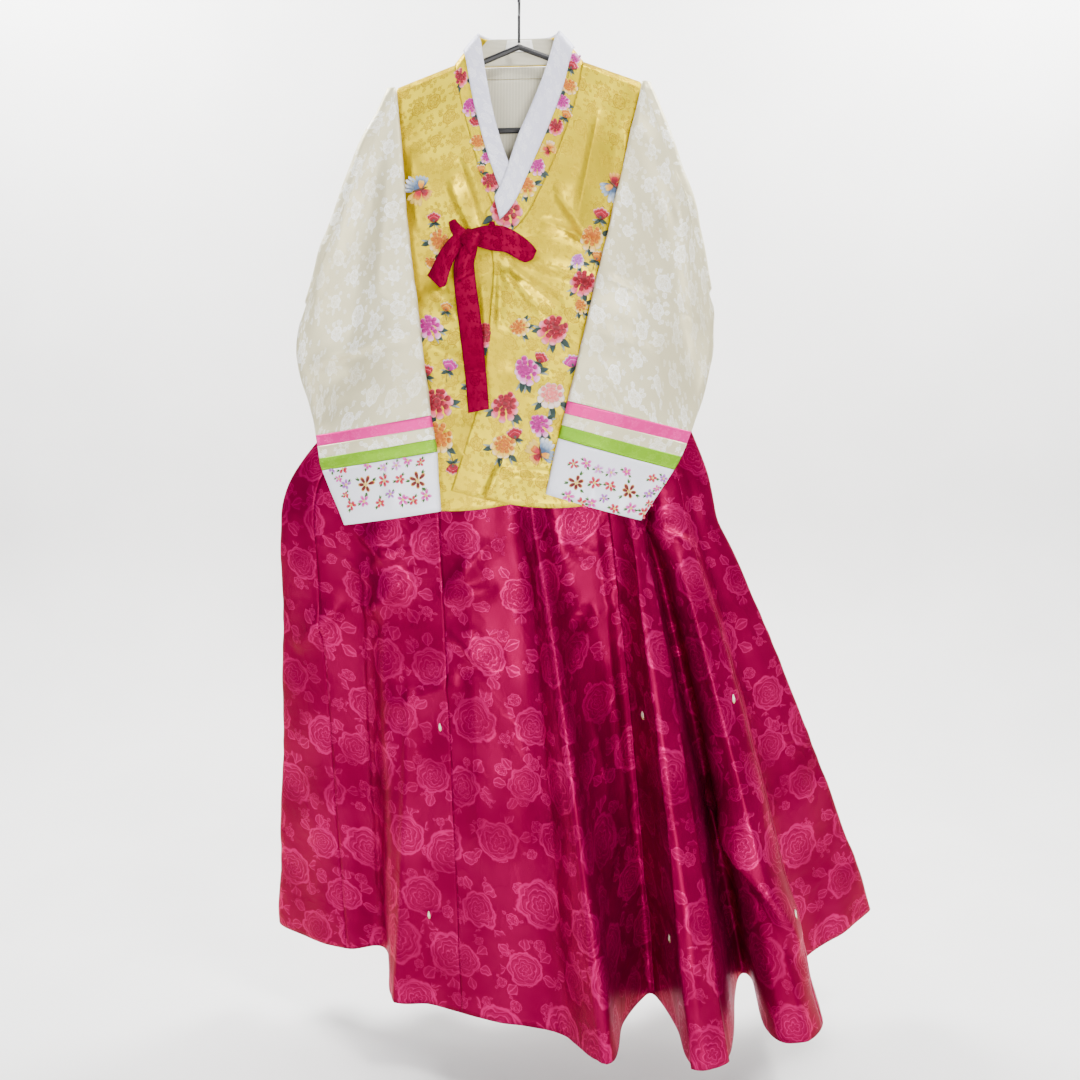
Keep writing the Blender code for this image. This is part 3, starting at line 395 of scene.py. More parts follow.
SKIRT_BACK_CREASES = [
    Crease(-0.260, -0.800, -0.150, -0.900, 0.0078, 0.020, 0.007),
    Crease(0.200, -0.760, 0.100, -0.870, 0.0078, 0.007, 0.02),
    Crease(-0.050, -0.900, 0.040, -0.990, 0.0065, 0.014, 0.006),
    Crease(0.060, -1.120, 0.160, -1.020, 0.0065, 0.008, 0.016),
    Crease(-0.300, -1.060, -0.200, -1.180, 0.0091, 0.018, 0.007),
    Crease(0.280, -0.980, 0.330, -1.120, 0.0065, 0.014, 0.008),
]
# Crisp edges along the skirt's folds: the fold at the top and at the foot, where the edge starts and ends as
# shares of the length, how far it stands out, and its width in folds on each side.
Edge = namedtuple("Edge", "top foot start end height left right")
FOLD_EDGES = [
    Edge(8.0, 8.0, 0.30, 1.10, 0.0098, 0.10, 0.40),
    Edge(7.3, 7.2, 0.34, 1.10, -0.0084, 0.40, 0.25),
    Edge(4.4, 3.2, 0.55, 1.10, 0.0084, 0.12, 0.40),
    Edge(13.2, 13.0, 0.36, 1.10, 0.0070, 0.12, 0.35),
    Edge(14.6, 14.2, 0.34, 1.10, 0.0056, 0.30, 0.12),
    Edge(18.6, 19.4, 0.40, 1.10, 0.0070, 0.20, 0.35),
    Edge(21.4, 20.2, 0.40, 1.10, 0.0056, 0.25, 0.12),
    Edge(5.6, 5.8, 0.32, 0.80, 0.0042, 0.20, 0.30),
    Edge(2.4, 1.9, 0.36, 0.90, 0.0056, 0.30, 0.20),
    Edge(10.5, 10.2, 0.34, 0.75, 0.0042, 0.20, 0.20),
    Edge(26.2, 26.0, 0.34, 1.10, 0.0070, 0.14, 0.35),
    Edge(30.0, 30.0, 0.34, 1.10, 0.0070, 0.14, 0.35),
    Edge(34.0, 34.1, 0.34, 1.10, 0.0070, 0.35, 0.14),
]

FACING = 0.35  # how far a normal turns to the front before the front's creases are whole
EDGE_FADE = 0.06
SKIRT_RIPPLE = 0.0022
SKIRT_CRUMPLE = 0.0008
RIPPLES_FROM = (0.60, 0.80)  # below the origin

# The tied ribbon: each row is a line across a flat strip, with its height off the jacket
Strip = namedtuple("Strip", "left_x left_z right_x right_z lift")
RIBBON_TAIL = [
    Strip(-0.0840, -0.3520, -0.0600, -0.3500, 0.012),
    Strip(-0.0890, -0.3780, -0.0610, -0.3740, 0.013),
    Strip(-0.0890, -0.4050, -0.0590, -0.4000, 0.011),
    Strip(-0.0840, -0.4500, -0.0530, -0.4450, 0.010),
    Strip(-0.0770, -0.5080, -0.0470, -0.5030, 0.009),
    Strip(-0.0750, -0.5230, -0.0455, -0.5190, 0.011),
    Strip(-0.0740, -0.5330, -0.0445, -0.5290, 0.008),
    Strip(-0.0700, -0.5790, -0.0410, -0.5740, 0.009),
]
RIBBON_END = [
    Strip(-0.0700, -0.3300, -0.0740, -0.3540, 0.014),
    Strip(-0.0880, -0.3370, -0.0860, -0.3680, 0.018),
    Strip(-0.1060, -0.3560, -0.0940, -0.3860, 0.018),
    Strip(-0.1190, -0.3790, -0.1000, -0.4040, 0.015),
    Strip(-0.1265, -0.3900, -0.1085, -0.4080, 0.012),
]
RIBBON_LOOP = [
    Strip(-0.0640, -0.3300, -0.0620, -0.3520, 0.016),
    Strip(-0.0440, -0.3270, -0.0400, -0.3600, 0.021),
    Strip(-0.0200, -0.3290, -0.0180, -0.3640, 0.023),
    Strip(0.0020, -0.3400, -0.0020, -0.3730, 0.021),
    Strip(0.0180, -0.3530, 0.0100, -0.3770, 0.017),
    Strip(0.0245, -0.3620, 0.0205, -0.3710, 0.013),
    Strip(0.0140, -0.3540, 0.0090, -0.3680, 0.010),
    Strip(-0.0100, -0.3420, -0.0120, -0.3620, 0.010),
    Strip(-0.0400, -0.3360, -0.0380, -0.3560, 0.010),
]
RIBBON_KNOT = [
    Strip(-0.0830, -0.3450, -0.0700, -0.3290, 0.016),
    Strip(-0.0760, -0.3520, -0.0610, -0.3320, 0.022),
    Strip(-0.0690, -0.3600, -0.0520, -0.3370, 0.023),
    Strip(-0.0650, -0.3660, -0.0470, -0.3440, 0.018),
    Strip(-0.0660, -0.3640, -0.0500, -0.3450, 0.013),
]
RIBBON_TIP_LEFT = [
    Strip(-0.0960, -0.3190, -0.0870, -0.3150, 0.010),
    Strip(-0.0940, -0.3300, -0.0800, -0.3240, 0.014),
    Strip(-0.0860, -0.3440, -0.0680, -0.3340, 0.016),
    Strip(-0.0760, -0.3520, -0.0620, -0.3420, 0.014),
]
RIBBON_TIP_RIGHT = [
    Strip(-0.0400, -0.3210, -0.0330, -0.3200, 0.010),
    Strip(-0.0440, -0.3300, -0.0320, -0.3300, 0.013),
    Strip(-0.0500, -0.3400, -0.0360, -0.3420, 0.015),
]
RIBBON_CROSS = [
    Strip(-0.0800, -0.3560, -0.0560, -0.3400, 0.019),
    Strip(-0.0830, -0.3680, -0.0560, -0.3560, 0.018),
    Strip(-0.0860, -0.3860, -0.0600, -0.3720, 0.0155),
    Strip(-0.0880, -0.4010, -0.0640, -0.3900, 0.0135),
]

RIBBON_STEPS = 10
RIBBON_COLUMNS = 13
TAIL_BULGE = 0.0015
RIBBON_BULGE = 0.003
KNOT_BULGE = 0.006

# Embroidery: the dyes of each kind of flower, from its heart to its rim
Dye = namedtuple("Dye", "heart middle light rim")
DYES = {
    "crimson": Dye((0.19, 0.0, 0.010), (0.46, 0.0, 0.026), (0.82, 0.085, 0.16), (0.92, 0.42, 0.48)),
    "magenta": Dye((0.34, 0.0, 0.17), (0.64, 0.004, 0.34), (0.90, 0.25, 0.62), (0.93, 0.68, 0.85)),
    "orange": Dye((0.50, 0.105, 0.0), (0.80, 0.26, 0.001), (0.95, 0.56, 0.08), (0.96, 0.80, 0.54)),
    "blush": Dye((0.86, 0.15, 0.15), (0.94, 0.36, 0.31), (0.96, 0.70, 0.62), (0.96, 0.86, 0.78)),
    "lilac": Dye((0.42, 0.06, 0.46), (0.66, 0.20, 0.68), (0.85, 0.56, 0.84), (0.93, 0.80, 0.92)),
    "burgundy": Dye((0.80, 0.42, 0.02), (0.12, 0.002, 0.008), (0.20, 0.006, 0.012), (0.72, 0.36, 0.03)),
    "purple": Dye((0.20, 0.02, 0.32), (0.38, 0.08, 0.52), (0.60, 0.26, 0.70), (0.82, 0.62, 0.88)),
    "leaf": Dye((0.012, 0.034, 0.028), (0.035, 0.080, 0.065), (0.15, 0.20, 0.18), (0.42, 0.46, 0.40)),
    "green": Dye((0.03, 0.10, 0.02), (0.08, 0.24, 0.04), (0.25, 0.45, 0.10), (0.5, 0.6, 0.2)),
    "slate": Dye((0.05, 0.10, 0.20), (0.14, 0.24, 0.42), (0.48, 0.58, 0.72), (0.88, 0.90, 0.94)),
    "gold": Dye((0.40, 0.20, 0.01), (0.70, 0.42, 0.04), (0.85, 0.60, 0.12), (0.9, 0.75, 0.3)),
}

# Each flower: its kind, place and radius in metres, the way it faces in degrees, and its dye
Motif = namedtuple("Motif", "kind x z radius turn dye")
INNER_FRONT_FLOWERS = [
    Motif("butterfly", -0.136, -0.275, 0.021, 200, "slate"),
    Motif("bud", -0.118, -0.314, 0.009, 90, "crimson"),
    Motif("peony", -0.110, -0.346, 0.0155, 80, "orange"),
    Motif("peony", -0.122, -0.374, 0.009, 130, "orange"),
    Motif("bud", -0.101, -0.436, 0.008, 80, "orange"),
    Motif("peony", -0.126, -0.462, 0.0165, 110, "magenta"),
    Motif("peony", -0.048, -0.473, 0.0190, 60, "crimson"),
    Motif("bud", -0.131, -0.524, 0.0110, 100, "crimson"),
    Motif("bud", -0.097, -0.516, 0.0105, 70, "magenta"),
    Motif("peony", -0.115, -0.568, 0.0205, 90, "crimson"),
    Motif("peony", -0.112, -0.615, 0.0200, 60, "orange"),
    Motif("bud", -0.092, -0.657, 0.0095, 270, "crimson"),
    Motif("peony", -0.060, -0.545, 0.0120, 20, "blush"),
]
OUTER_FRONT_FLOWERS = [
    Motif("peony", 0.000, -0.464, 0.0120, 170, "orange"),
    Motif("peony", 0.050, -0.466, 0.0200, 60, "crimson"),
    Motif("bud", 0.030, -0.506, 0.0095, 60, "crimson"),
    Motif("peony", 0.010, -0.523, 0.0190, 100, "magenta"),
    Motif("bud", 0.073, -0.511, 0.0110, 110, "magenta"),
    Motif("peony", 0.045, -0.557, 0.0190, 80, "blush"),
    Motif("peony", -0.019, -0.571, 0.0190, 90, "crimson"),
    Motif("peony", 0.028, -0.597, 0.0150, 130, "magenta"),
    Motif("bud", -0.006, -0.610, 0.0105, 100, "crimson"),
    Motif("peony", -0.022, -0.627, 0.0170, 60, "orange"),
    Motif("butterfly", 0.030, -0.637, 0.0210, 100, "slate"),
    Motif("butterfly", 0.131, -0.270, 0.0220, 320, "slate"),
    Motif("bud", 0.113, -0.310, 0.0105, 80, "crimson"),
    Motif("peony", 0.102, -0.340, 0.0160, 100, "orange"),
    Motif("bud", 0.109, -0.367, 0.0090, 60, "orange"),
    Motif("peony", 0.081, -0.372, 0.0100, 90, "lilac"),
    Motif("peony", 0.090, -0.402, 0.0165, 80, "crimson"),
    Motif("peony", 0.085, -0.434, 0.0100, 120, "orange"),
]
COLLAR_FLOWERS = [
    Motif("peony", -0.0800, -0.124, 0.0120, 80, "crimson"),
    Motif("peony", -0.0670, -0.164, 0.0120, 100, "magenta"),
    Motif("bud", -0.0600, -0.184, 0.0080, 250, "crimson"),
    Motif("peony", -0.0560, -0.213, 0.0115, 90, "orange"),
    Motif("peony", -0.0440, -0.233, 0.0080, 70, "magenta"),
    Motif("bud", -0.0530, -0.250, 0.0080, 120, "orange"),
    Motif("peony", -0.0390, -0.266, 0.0130, 90, "crimson"),
    Motif("bud", 0.0730, -0.111, 0.0080, 60, "crimson"),
    Motif("peony", 0.0690, -0.138, 0.0110, 120, "orange"),
    Motif("peony", 0.0590, -0.160, 0.0095, 90, "magenta"),
    Motif("bud", 0.0650, -0.176, 0.0075, 60, "orange"),
    Motif("peony", 0.0520, -0.192, 0.0110, 100, "crimson"),
    Motif("butterfly", 0.0410, -0.224, 0.0120, 120, "orange"),
    Motif("peony", 0.0260, -0.246, 0.0110, 90, "magenta"),
    Motif("peony", 0.0110, -0.272, 0.0125, 100, "orange"),
    Motif("peony", -0.0190, -0.306, 0.0220, 90, "crimson"),
    Motif("peony", 0.0780, -0.100, 0.0090, 40, "magenta"),
]
CUFF_FLOWERS = [  # on the left cuff; the right one has the same in mirror image
    Motif("star", -0.262, -0.658, 0.0075, 90, "purple"),
    Motif("star", -0.246, -0.658, 0.0080, 20, "crimson"),
    Motif("star", -0.209, -0.652, 0.0080, 60, "magenta"),
    Motif("star", -0.187, -0.655, 0.0075, 10, "lilac"),
    Motif("star", -0.169, -0.652, 0.0070, 40, "lilac"),
    Motif("star", -0.153, -0.645, 0.0080, 80, "magenta"),
    Motif("star", -0.135, -0.648, 0.0070, 30, "crimson"),
    Motif("six", -0.212, -0.679, 0.0120, 0, "burgundy"),
    Motif("six", -0.139, -0.673, 0.0120, 30, "burgundy"),
    Motif("star", -0.241, -0.680, 0.0080, 10, "purple"),
    Motif("star", -0.186, -0.673, 0.0085, 50, "crimson"),
    Motif("star", -0.164, -0.671, 0.0085, 20, "crimson"),
    Motif("star", -0.252, -0.672, 0.0060, 0, "magenta"),
    Motif("star", -0.242, -0.694, 0.0060, 20, "crimson"),
    Motif("star", -0.234, -0.708, 0.0085, 70, "crimson"),
    Motif("star", -0.215, -0.702, 0.0085, 30, "magenta"),
    Motif("star", -0.192, -0.704, 0.0085, 50, "crimson"),
    Motif("star", -0.177, -0.691, 0.0065, 10, "purple"),
    Motif("star", -0.160, -0.699, 0.0085, 80, "magenta"),
    Motif("star", -0.146, -0.700, 0.0080, 20, "crimson"),
    Motif("star", -0.128, -0.693, 0.0085, 60, "magenta"),
]
OTHER_CUFF_SHIFT = -0.060
OTHER_CUFF_SLOPE = 0.10
OTHER_CUFF_MIDDLE = -0.12
STITCH_HEIGHT = 0.0007
HEART_OFF = 0.14  # how far a ring moves the way its flower faces, in radii
BODY_BROWN = (0.10, 0.030, 0.010)
ON_CLOTH = 0.006  # a stitch this much nearer or farther than its shape's middle has missed the cloth

# The pale tabs at the skirt's seams
Tab = namedtuple("Tab", "x z")
TABS = [
    Tab(-0.118, -1.038),
    Tab(-0.139, -1.333),
    Tab(0.177, -1.016),
    Tab(0.216, -1.336),
    Tab(0.302, -0.981),
    Tab(0.387, -1.276),
]
TAB_LENGTH = 0.013
TAB_UP = 0.006  # from the tab's place to its top
TAB_WIDTH = 0.005
TAB_TURN = -math.pi / 2 + 0.1
TAB_RISE = 0.0008
TAB_IVORY = (0.85, 0.78, 0.58)
TAB_GOLD = (0.60, 0.38, 0.10)

# The floor under the hanging skirt, and the camera
FLOOR_Z = -1.62
FLOOR_FRONT = -3.2
FLOOR_BACK = 0.9
FLOOR_CURVE = 0.7
FLOOR_HALF = 4.0
WALL_HEIGHT = 4.2
CAMERA_PLACE = (0.029, -1.6, -0.543)
CAMERA_TILT = math.radians(8)
CAMERA_LENS = 36.67

# Curves and grids


def smooth_rows(values, steps, wraps=False):
    """A curve through every row of an array, with this many steps from one row to the next."""
    values = np.asarray(values, float)
    if wraps:
        padded = np.concatenate([values[-1:], values, values[:2]])
    else:
        before = 2 * values[:1] - values[1:2]
        after = 2 * values[-1:] - values[-2:-1]
        padded = np.concatenate([before, values, after])
    share = (np.arange(steps) / steps).reshape((-1,) + (1,) * (values.ndim - 1))
    spans = []
    for i in range(len(padded) - 3):
        a, b, c, d = padded[i : i + 4]
        curve = 2 * b + (c - a) * share + (2 * a - 5 * b + 4 * c - d) * share**2
        spans.append(0.5 * (curve + (3 * b - a - 3 * c + d) * share**3))
    if not wraps:
        spans.append(values[-1:])
    return np.concatenate(spans)


def grid_normals(grid, wraps=False):
    down = np.gradient(grid, axis=0)
    if wraps:
        across = np.roll(grid, -1, axis=1) - np.roll(grid, 1, axis=1)
    else:
        across = np.gradient(grid, axis=1)
    normals = np.cross(down, across)
    return normals / np.maximum(np.linalg.norm(normals, axis=2, keepdims=True), 1e-12)


def moved_out(grid, lift, wraps=False):
    return grid + grid_normals(grid, wraps) * np.expand_dims(np.broadcast_to(lift, grid.shape[:2]), 2)


def softened(values, passes):
    """The rows of an array, each eased towards its neighbours; the ends stay."""
    values = values.copy()
    for _ in range(passes):
        values[1:-1] = (values[:-2] + 2 * values[1:-1] + values[2:]) / 4
    return values


def step_up(value, low, high):
    """From 0 at low to 1 at high, smoothly."""
    share = np.clip((value - low) / (high - low), 0, 1)
    return share * share * (3 - 2 * share)


def tent(value):
    """1 on a crisp edge at 0, falling to 0 at 2 on either side."""
    return np.clip(1 - abs(value) / 2, 0, 1) ** 1.6


# Cloth pieces


def cloth_map(grid, wraps):
    """Each point's place on the flat cloth: across from the middle and down from the top."""
    closed = np.concatenate([grid, grid[:, :1]], axis=1) if wraps else grid
    across = np.linalg.norm(np.diff(closed, axis=1), axis=2)
    down = np.linalg.norm(np.diff(closed, axis=0), axis=2)
    u = np.concatenate([np.zeros((len(closed), 1)), np.cumsum(across, axis=1)], axis=1)
    v = np.concatenate([np.zeros((1, closed.shape[1])), np.cumsum(down, axis=0)], axis=0)
    return np.stack([u - u[:, -1:] / 2, -v], axis=2)


def finished(name, points, faces, corner_map, finish):
    """One smooth object at the origin, with its flat map and its finish."""
    mesh = bpy.data.meshes.new(name)
    mesh.from_pydata(np.asarray(points).tolist(), [], faces)
    mesh.uv_layers.new(name="Cloth").data.foreach_set("uv", np.asarray(corner_map, float).ravel())
    mesh.shade_smooth()
    mesh.materials.append(finish)
    piece = bpy.data.objects.new(name, mesh)
    bpy.context.scene.collection.objects.link(piece)
    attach(piece, "root")
    return piece


def cloth_shell(name, grid, finish, wall=CLOTH, wraps=False, normals=None):
    """A thin closed shell with its outer face on the grid."""
    rows, columns = grid.shape[:2]
    if normals is None:
        normals = grid_normals(grid, wraps)
    points = np.concatenate([grid.reshape(-1, 3), (grid - normals * wall).reshape(-1, 3)])
    across = np.arange(columns if wraps else columns - 1)
    c, r = np.meshgrid(across, np.arange(rows - 1))
    here = (r * columns + c).ravel()
    right = (r * columns + (c + 1) % columns).ravel()
    inner = rows * columns
    quads = [np.stack([here, here + columns, right + columns, right], axis=1)]
    quads.append(quads[0][:, ::-1] + inner)
    places = cloth_map(grid, wraps)
    r = r.ravel()
    c = c.ravel()
    face_map = np.stack([places[r, c], places[r + 1, c], places[r + 1, c + 1], places[r, c + 1]], axis=1)
    maps = [face_map, face_map[:, ::-1]]
    beside = (across + 1) % columns
    for a, b, row in ((across, beside, 0), (beside, across, rows - 1)):
        start = row * columns
        quads.append(np.stack([a + start, b + start, b + start + inner, a + start + inner], axis=1))
        edge = np.stack([places[row, across], places[row, across + 1]], axis=1)
        edge = edge if row == 0 else edge[:, ::-1]
        maps.append(np.concatenate([edge, edge[:, ::-1]], axis=1))
    if not wraps:
        down = np.arange(rows - 1)
        for column, flip in ((0, True), (columns - 1, False)):
            a = down * columns + column
            b = a + columns
            edge = np.stack([places[down, column], places[down + 1, column]], axis=1)
            if flip:
                a, b, edge = b, a, edge[:, ::-1]
            quads.append(np.stack([a, b, b + inner, a + inner], axis=1))
            maps.append(np.concatenate([edge, edge[:, ::-1]], axis=1))
    return finished(name, points, np.concatenate(quads).tolist(), np.concatenate(maps), finish)


def sheet_piece(name, grid, finish, slot, held="hung", rests_on=(), **shell):
    """A cloth shell in place of the solid of this name."""
    piece = cloth_shell(name + "_cloth", grid, finish, **shell)
    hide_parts(name)


# The jacket's form

LEVELS = smooth_rows(BODY_LEVELS, 12)


def level_at(z):
    """The columns mid, half, edge, front and back of the body's levels at each height."""
    return [np.interp(-np.asarray(z, float), -LEVELS[:, 0], LEVELS[:, column]) for column in range(1, 6)]


def lean(x):
    return x * HANG_LEAN


def armhole_x(z):
    return SHOULDER_X + (ARMPIT_X - SHOULDER_X) * (SHOULDER_Z - z) / (SHOULDER_Z - ARMPIT_Z)


def shoulder_z(x):
    over = np.maximum(0, (abs(x) - NECK_X) / (SHOULDER_X - NECK_X))
    return NECK_Z + (SHOULDER_Z - NECK_Z) * over


def stand_off(x, z, side):
    mid, half, edge, front, back = level_at(z)
    share = np.minimum(1, abs(x - mid) / half)
    return edge + (front if side == "front" else back) * (1 - share**3)


def turned_down(x, z):
    """The share of its stand-off that the cloth has near the shoulder line, where front meets back."""
    below = np.clip((shoulder_z(x) - z) / SHOULDER_ROUND, 0, 1)
    on_shoulder = np.clip((abs(x) - NECK_X) / NECK_TURN + 1, 0, 1)
    return 1 - on_shoulder * (1 - np.sqrt(below))


def on_body(x, z, lift, side):
    """Places on the jacket's front or back, moved out by the lift."""
    x = np.asarray(x, float)
    z = np.asarray(z, float)
    out = (stand_off(x, z, side) + lift) * turned_down(x, z) + SEAM_GAP / 2
    return np.stack([x, -out if side == "front" else out, z + lean(x)], axis=-1)


def on_front(x, z, lift=0.0):
    return on_body(x, z, lift, "front")


def on_back(x, z, lift=0.0):
    return on_body(x, z, lift, "back")


def crease_height(x, z, creases):
    """How far the creases stand out at each place."""
    total = np.zeros(np.broadcast(x, z).shape)
    for row in creases:
        run_x = row.x2 - row.x1
        run_z = row.z2 - row.z1
        length = math.hypot(run_x, run_z)
        along = ((x - row.x1) * run_x + (z - row.z1) * run_z) / length**2
        across = ((z - row.z1) * run_x - (x - row.x1) * run_z) / length
        width = np.where(across > 0, row.soft, row.sharp)
        fade = np.clip(1 - abs(2 * along - 1) ** 3, 0, 1)
        total += row.height * fade * tent(across / width)
    return total


def front_lift(x):
    """The outer front lies on the inner one, and comes down to the side seam."""
    return 2 * LAYER * np.clip((LAY_DOWN_X - x) / LAY_DOWN_WIDTH, 0, 1)


def front_rows(collar, side, lower):
    """Lines across a front: both ends and how far the middle dips, from the collar down to the hem."""
    neckline = [(side * NECK_X, NECK_Z)] + [(row.outer_x, row.outer_z) for row in reversed(collar)]
    rows = []
    for neck, z in zip(neckline, ARMHOLE_STEPS):
        hole = (side * armhole_x(z), z)
        ends = (*neck, *hole) if side > 0 else (*hole, *neck)
        rows.append((*ends, 0.0))
    rows += [tuple(row) for row in lower]
    return smooth_rows(rows, FRONT_ROW_STEPS)


def front_grid(rows, columns, lift_of, creases):
    """A front on the jacket's form, with its creases."""
    left_x, left_z, right_x, right_z, sag = (rows[:, i : i + 1] for i in range(5))
    share = np.linspace(SEAM_GAP / 0.2, 1 - SEAM_GAP / 0.2, columns)[None]
    x = left_x + (right_x - left_x) * share
    z = left_z + (right_z - left_z) * share - sag * np.sin(share * np.pi)
    lift = lift_of(x) + crease_height(x, z, creases) + small_crumples(x, z)
    return on_front(x, z, lift)


def small_crumples(x, z):
    """Shallow uneven ripples that cloth keeps from being folded away."""
    wide = np.sin(31 * x + 17 * z + 2.4 * np.sin(23 * z)) * np.sin(27 * z - 9 * x + 1.9 * np.sin(19 * x))
    fine = np.sin(83 * x - 61 * z + 2 * np.sin(41 * x)) * np.sin(71 * z + 37 * x)
    return 0.0011 * wide + 0.0004 * fine


def build_fronts():
    inner = front_grid(front_rows(GIT_LEFT, -1, FRONT_INNER), INNER_COLUMNS, lambda x: 0.0, INNER_CREASES)
    outer = front_grid(front_rows(GIT_RIGHT, 1, FRONT_OUTER), OUTER_COLUMNS, front_lift, OUTER_CREASES)
    for name, grid in (("front_inner", inner), ("front_outer", outer)):
        sheet_piece(name, grid, satin("Golden jacquard"), "yellow satin", rests_on=["hanger_frame"])


def build_back():
    sides = [(armhole_x(z), z) for z in ARMHOLE_STEPS] + [tuple(row) for row in BACK_SIDES]
    half, height = smooth_rows(sides, BACK_ROW_STEPS).T[:, :, None]
    foot = BACK_SIDES[-1].z
    share = (SHOULDER_Z - height) / (SHOULDER_Z - foot)
    across = np.linspace(1, -1, BACK_COLUMNS)[None]
    sag = BACK_SAG * share * np.cos(across * np.pi / 2)
    top = shoulder_z(SHOULDER_X * across)
    z = top + (foot - top) * share - sag
    x = half * across
    grid = on_back(x, z, crease_height(x, z, BACK_CREASES) + small_crumples(x, z))
    sheet_piece("back", grid, satin("Golden jacquard"), "yellow satin", rests_on=["hanger_frame"])


def collar_edges():
    """The inner and outer edges of the collar band, from its lapped foot round the neck to its hidden one."""
    rows = []
    for row in GIT_RIGHT:
        lift = row.layer * LAYER
        rows.append((on_front(row.inner_x, row.inner_z, lift), on_front(row.outer_x, row.outer_z, lift)))
    for row in GIT_BACK:
        inner = np.array([row.inner_x, row.inner_y, row.inner_z + lean(row.inner_x)])
        rows.append((inner, on_back(row.outer_x, NECK_Z + 2 * SEAM_GAP)))
    for row in reversed(GIT_LEFT):
        rows.append((on_front(row.inner_x, row.inner_z), on_front(row.outer_x, row.outer_z)))
    ends = smooth_rows(rows, COLLAR_STEPS)
    return ends[:, :1], ends[:, 1:]


def build_collar():
    """The embroidered band, and the white strip that lies on it."""
    inner, outer = collar_edges()
    shares = np.concatenate([np.linspace(1.0, EDGE_SHARE, COLLAR_COLUMNS), [0.0]])[None, :, None]
    band = inner + (outer - inner) * shares
    band = moved_out(band, COLLAR_CROWN * np.sin(np.clip(shares[..., 0], 0, 1) * np.pi))
    sheet_piece("git", band, satin("Golden collar"), "yellow satin", held="stretched", wall=COLLAR_WALL)
    shares = np.linspace(*STRIP_SHARES, STRIP_COLUMNS)[None, :, None]
    strip = (inner + (outer - inner) * shares)[STRIP_INSET : len(inner) - STRIP_INSET]
    crown = STRIP_CROWN * np.sin(np.linspace(0, 1, STRIP_COLUMNS) * np.pi)[None]
    strip = moved_out(strip, WALL + 3 * SEAM_GAP + STITCHES + crown)
    sheet_piece("dongjeong", strip, satin("White jacquard"), "white satin", held="stretched", wall=STRIP_WALL)
    build_collar_lining(band)


def build_collar_lining(band):
    """The cream lining inside the standing collar, and a plain tab on it."""
    first = len(GIT_RIGHT)
    behind = slice((first + 1) * COLLAR_STEPS, (first + len(GIT_BACK) - 2) * COLLAR_STEPS + 1)
    lining = moved_out(band, -WALL - 2 * SEAM_GAP)[behind]
    sheet_piece("collar_lining", lining, ribbed_lining(), "cream lining", held="stretched", wall=LINING_WALL)
    faces = moved_out(band, -2 * WALL - 4 * SEAM_GAP)[behind]
    middle = len(faces) // 2
    beside = np.argmin(abs(faces[:, 0, 0] - faces[middle, 0, 0] + LABEL_HALF))
    reach = abs(int(beside) - middle)
    tab = faces[middle - reach : middle + reach + 1, LABEL_COLUMNS].swapaxes(0, 1)[::-1]
    tab = tab[:, ::-1] if grid_normals(tab)[..., 1].mean() < 0 else tab
    label = plain_finish("Label cloth", (0.98, 0.97, 0.93), 0.6, 900.0)
    sheet_piece("neck_label", tab, label, "white satin", held="stretched", wall=LABEL_WALL)


def build_lining():
    """The yoke and the lining of the back, where they show through the neck."""
    for name, top, foot, half in LINING_PIECES:
        x = np.linspace(half, -half, 40)[None]
        z = np.linspace(top, foot, 30)[:, None]
        grid = on_back(x + 0 * z, z + 0 * x, -WALL - LINING_GAP)
        sheet_piece(name, grid, ribbed_lining(), "cream lining", rests_on=["back_cloth"], wall=LINING_WALL)


# Sleeves

# Down the sleeve: the name of each part, its cloth and its slot
SLEEVE_PARTS = (
    ("sleeve", "Ivory jacquard", "ivory satin"),
    ("band_pink", "Pink satin", "pink satin"),
    ("band_cream", "Ivory jacquard", "ivory satin"),
    ("band_green", "Green satin", "green satin"),
    ("cuff", "Cuff satin", "white satin"),
)


def across_ring(ring, share):
    """Points on the line across the sleeve, and the outward direction of its bow."""
    top = np.array([ring.top_x, 0, ring.top_z])
    low = np.array([ring.low_x, 0, ring.low_z])
    out = (low - top) / np.linalg.norm(low - top)
    outward = np.array([-out[2], 0, out[0]]) if ring.low_x > 0 else np.array([out[2], 0, -out[0]])
    bow = ring.bow * np.sin(share * np.pi)
    return top + (low - top) * share[:, None] + outward * bow[:, None], out, outward


def ring_centres(kind, middle, outward, angle, puff):
    """The middle of the cloth at the armhole, while it turns over the fold, or over the front."""
    x, z = middle[:, 0], middle[:, 2]
    if kind == "armhole":
        moved = np.zeros_like(middle)
    elif kind == "fold":
        moved = outward * SLEEVE_TURN * (math.sin(angle) - 1)
        moved = moved + np.array([0, -SLEEVE_TURN * (1 - math.cos(angle)), 0])
    else:
        on_top = np.where(x > 0, front_lift(x), 0.0)
        over = stand_off(x, z, "front") + on_top + SLEEVE_CLEAR + puff
        moved = np.stack([0 * x, -np.maximum(2 * SLEEVE_TURN, over), 0 * x], axis=1)
    return middle + moved + np.stack([0 * x, 0 * x, lean(x)], axis=1)


def sleeve_ring(ring, turn, kind):
    """A flat ring across the sleeve. Turn is 0 before the fold and 180 degrees after it."""
    angle = math.radians(turn)
    points = []
    for face in (1, -1):
        share = np.linspace(0, 1, SLEEVE_POINTS)[::face]
        middle, out, outward = across_ring(ring, share)
        half = SLEEVE_EDGE + (ring.puff - SLEEVE_EDGE) * np.sin(share * np.pi)
        away = outward * math.sin(angle) + np.array([0, math.cos(angle), 0])
        centres = ring_centres(kind, middle, outward, angle, ring.puff)
        points.append(centres + away * half[:, None] * face)
        points.append((centres[-1] + out * SLEEVE_EDGE * RING_CAP * face)[None])
    return np.concatenate(points)


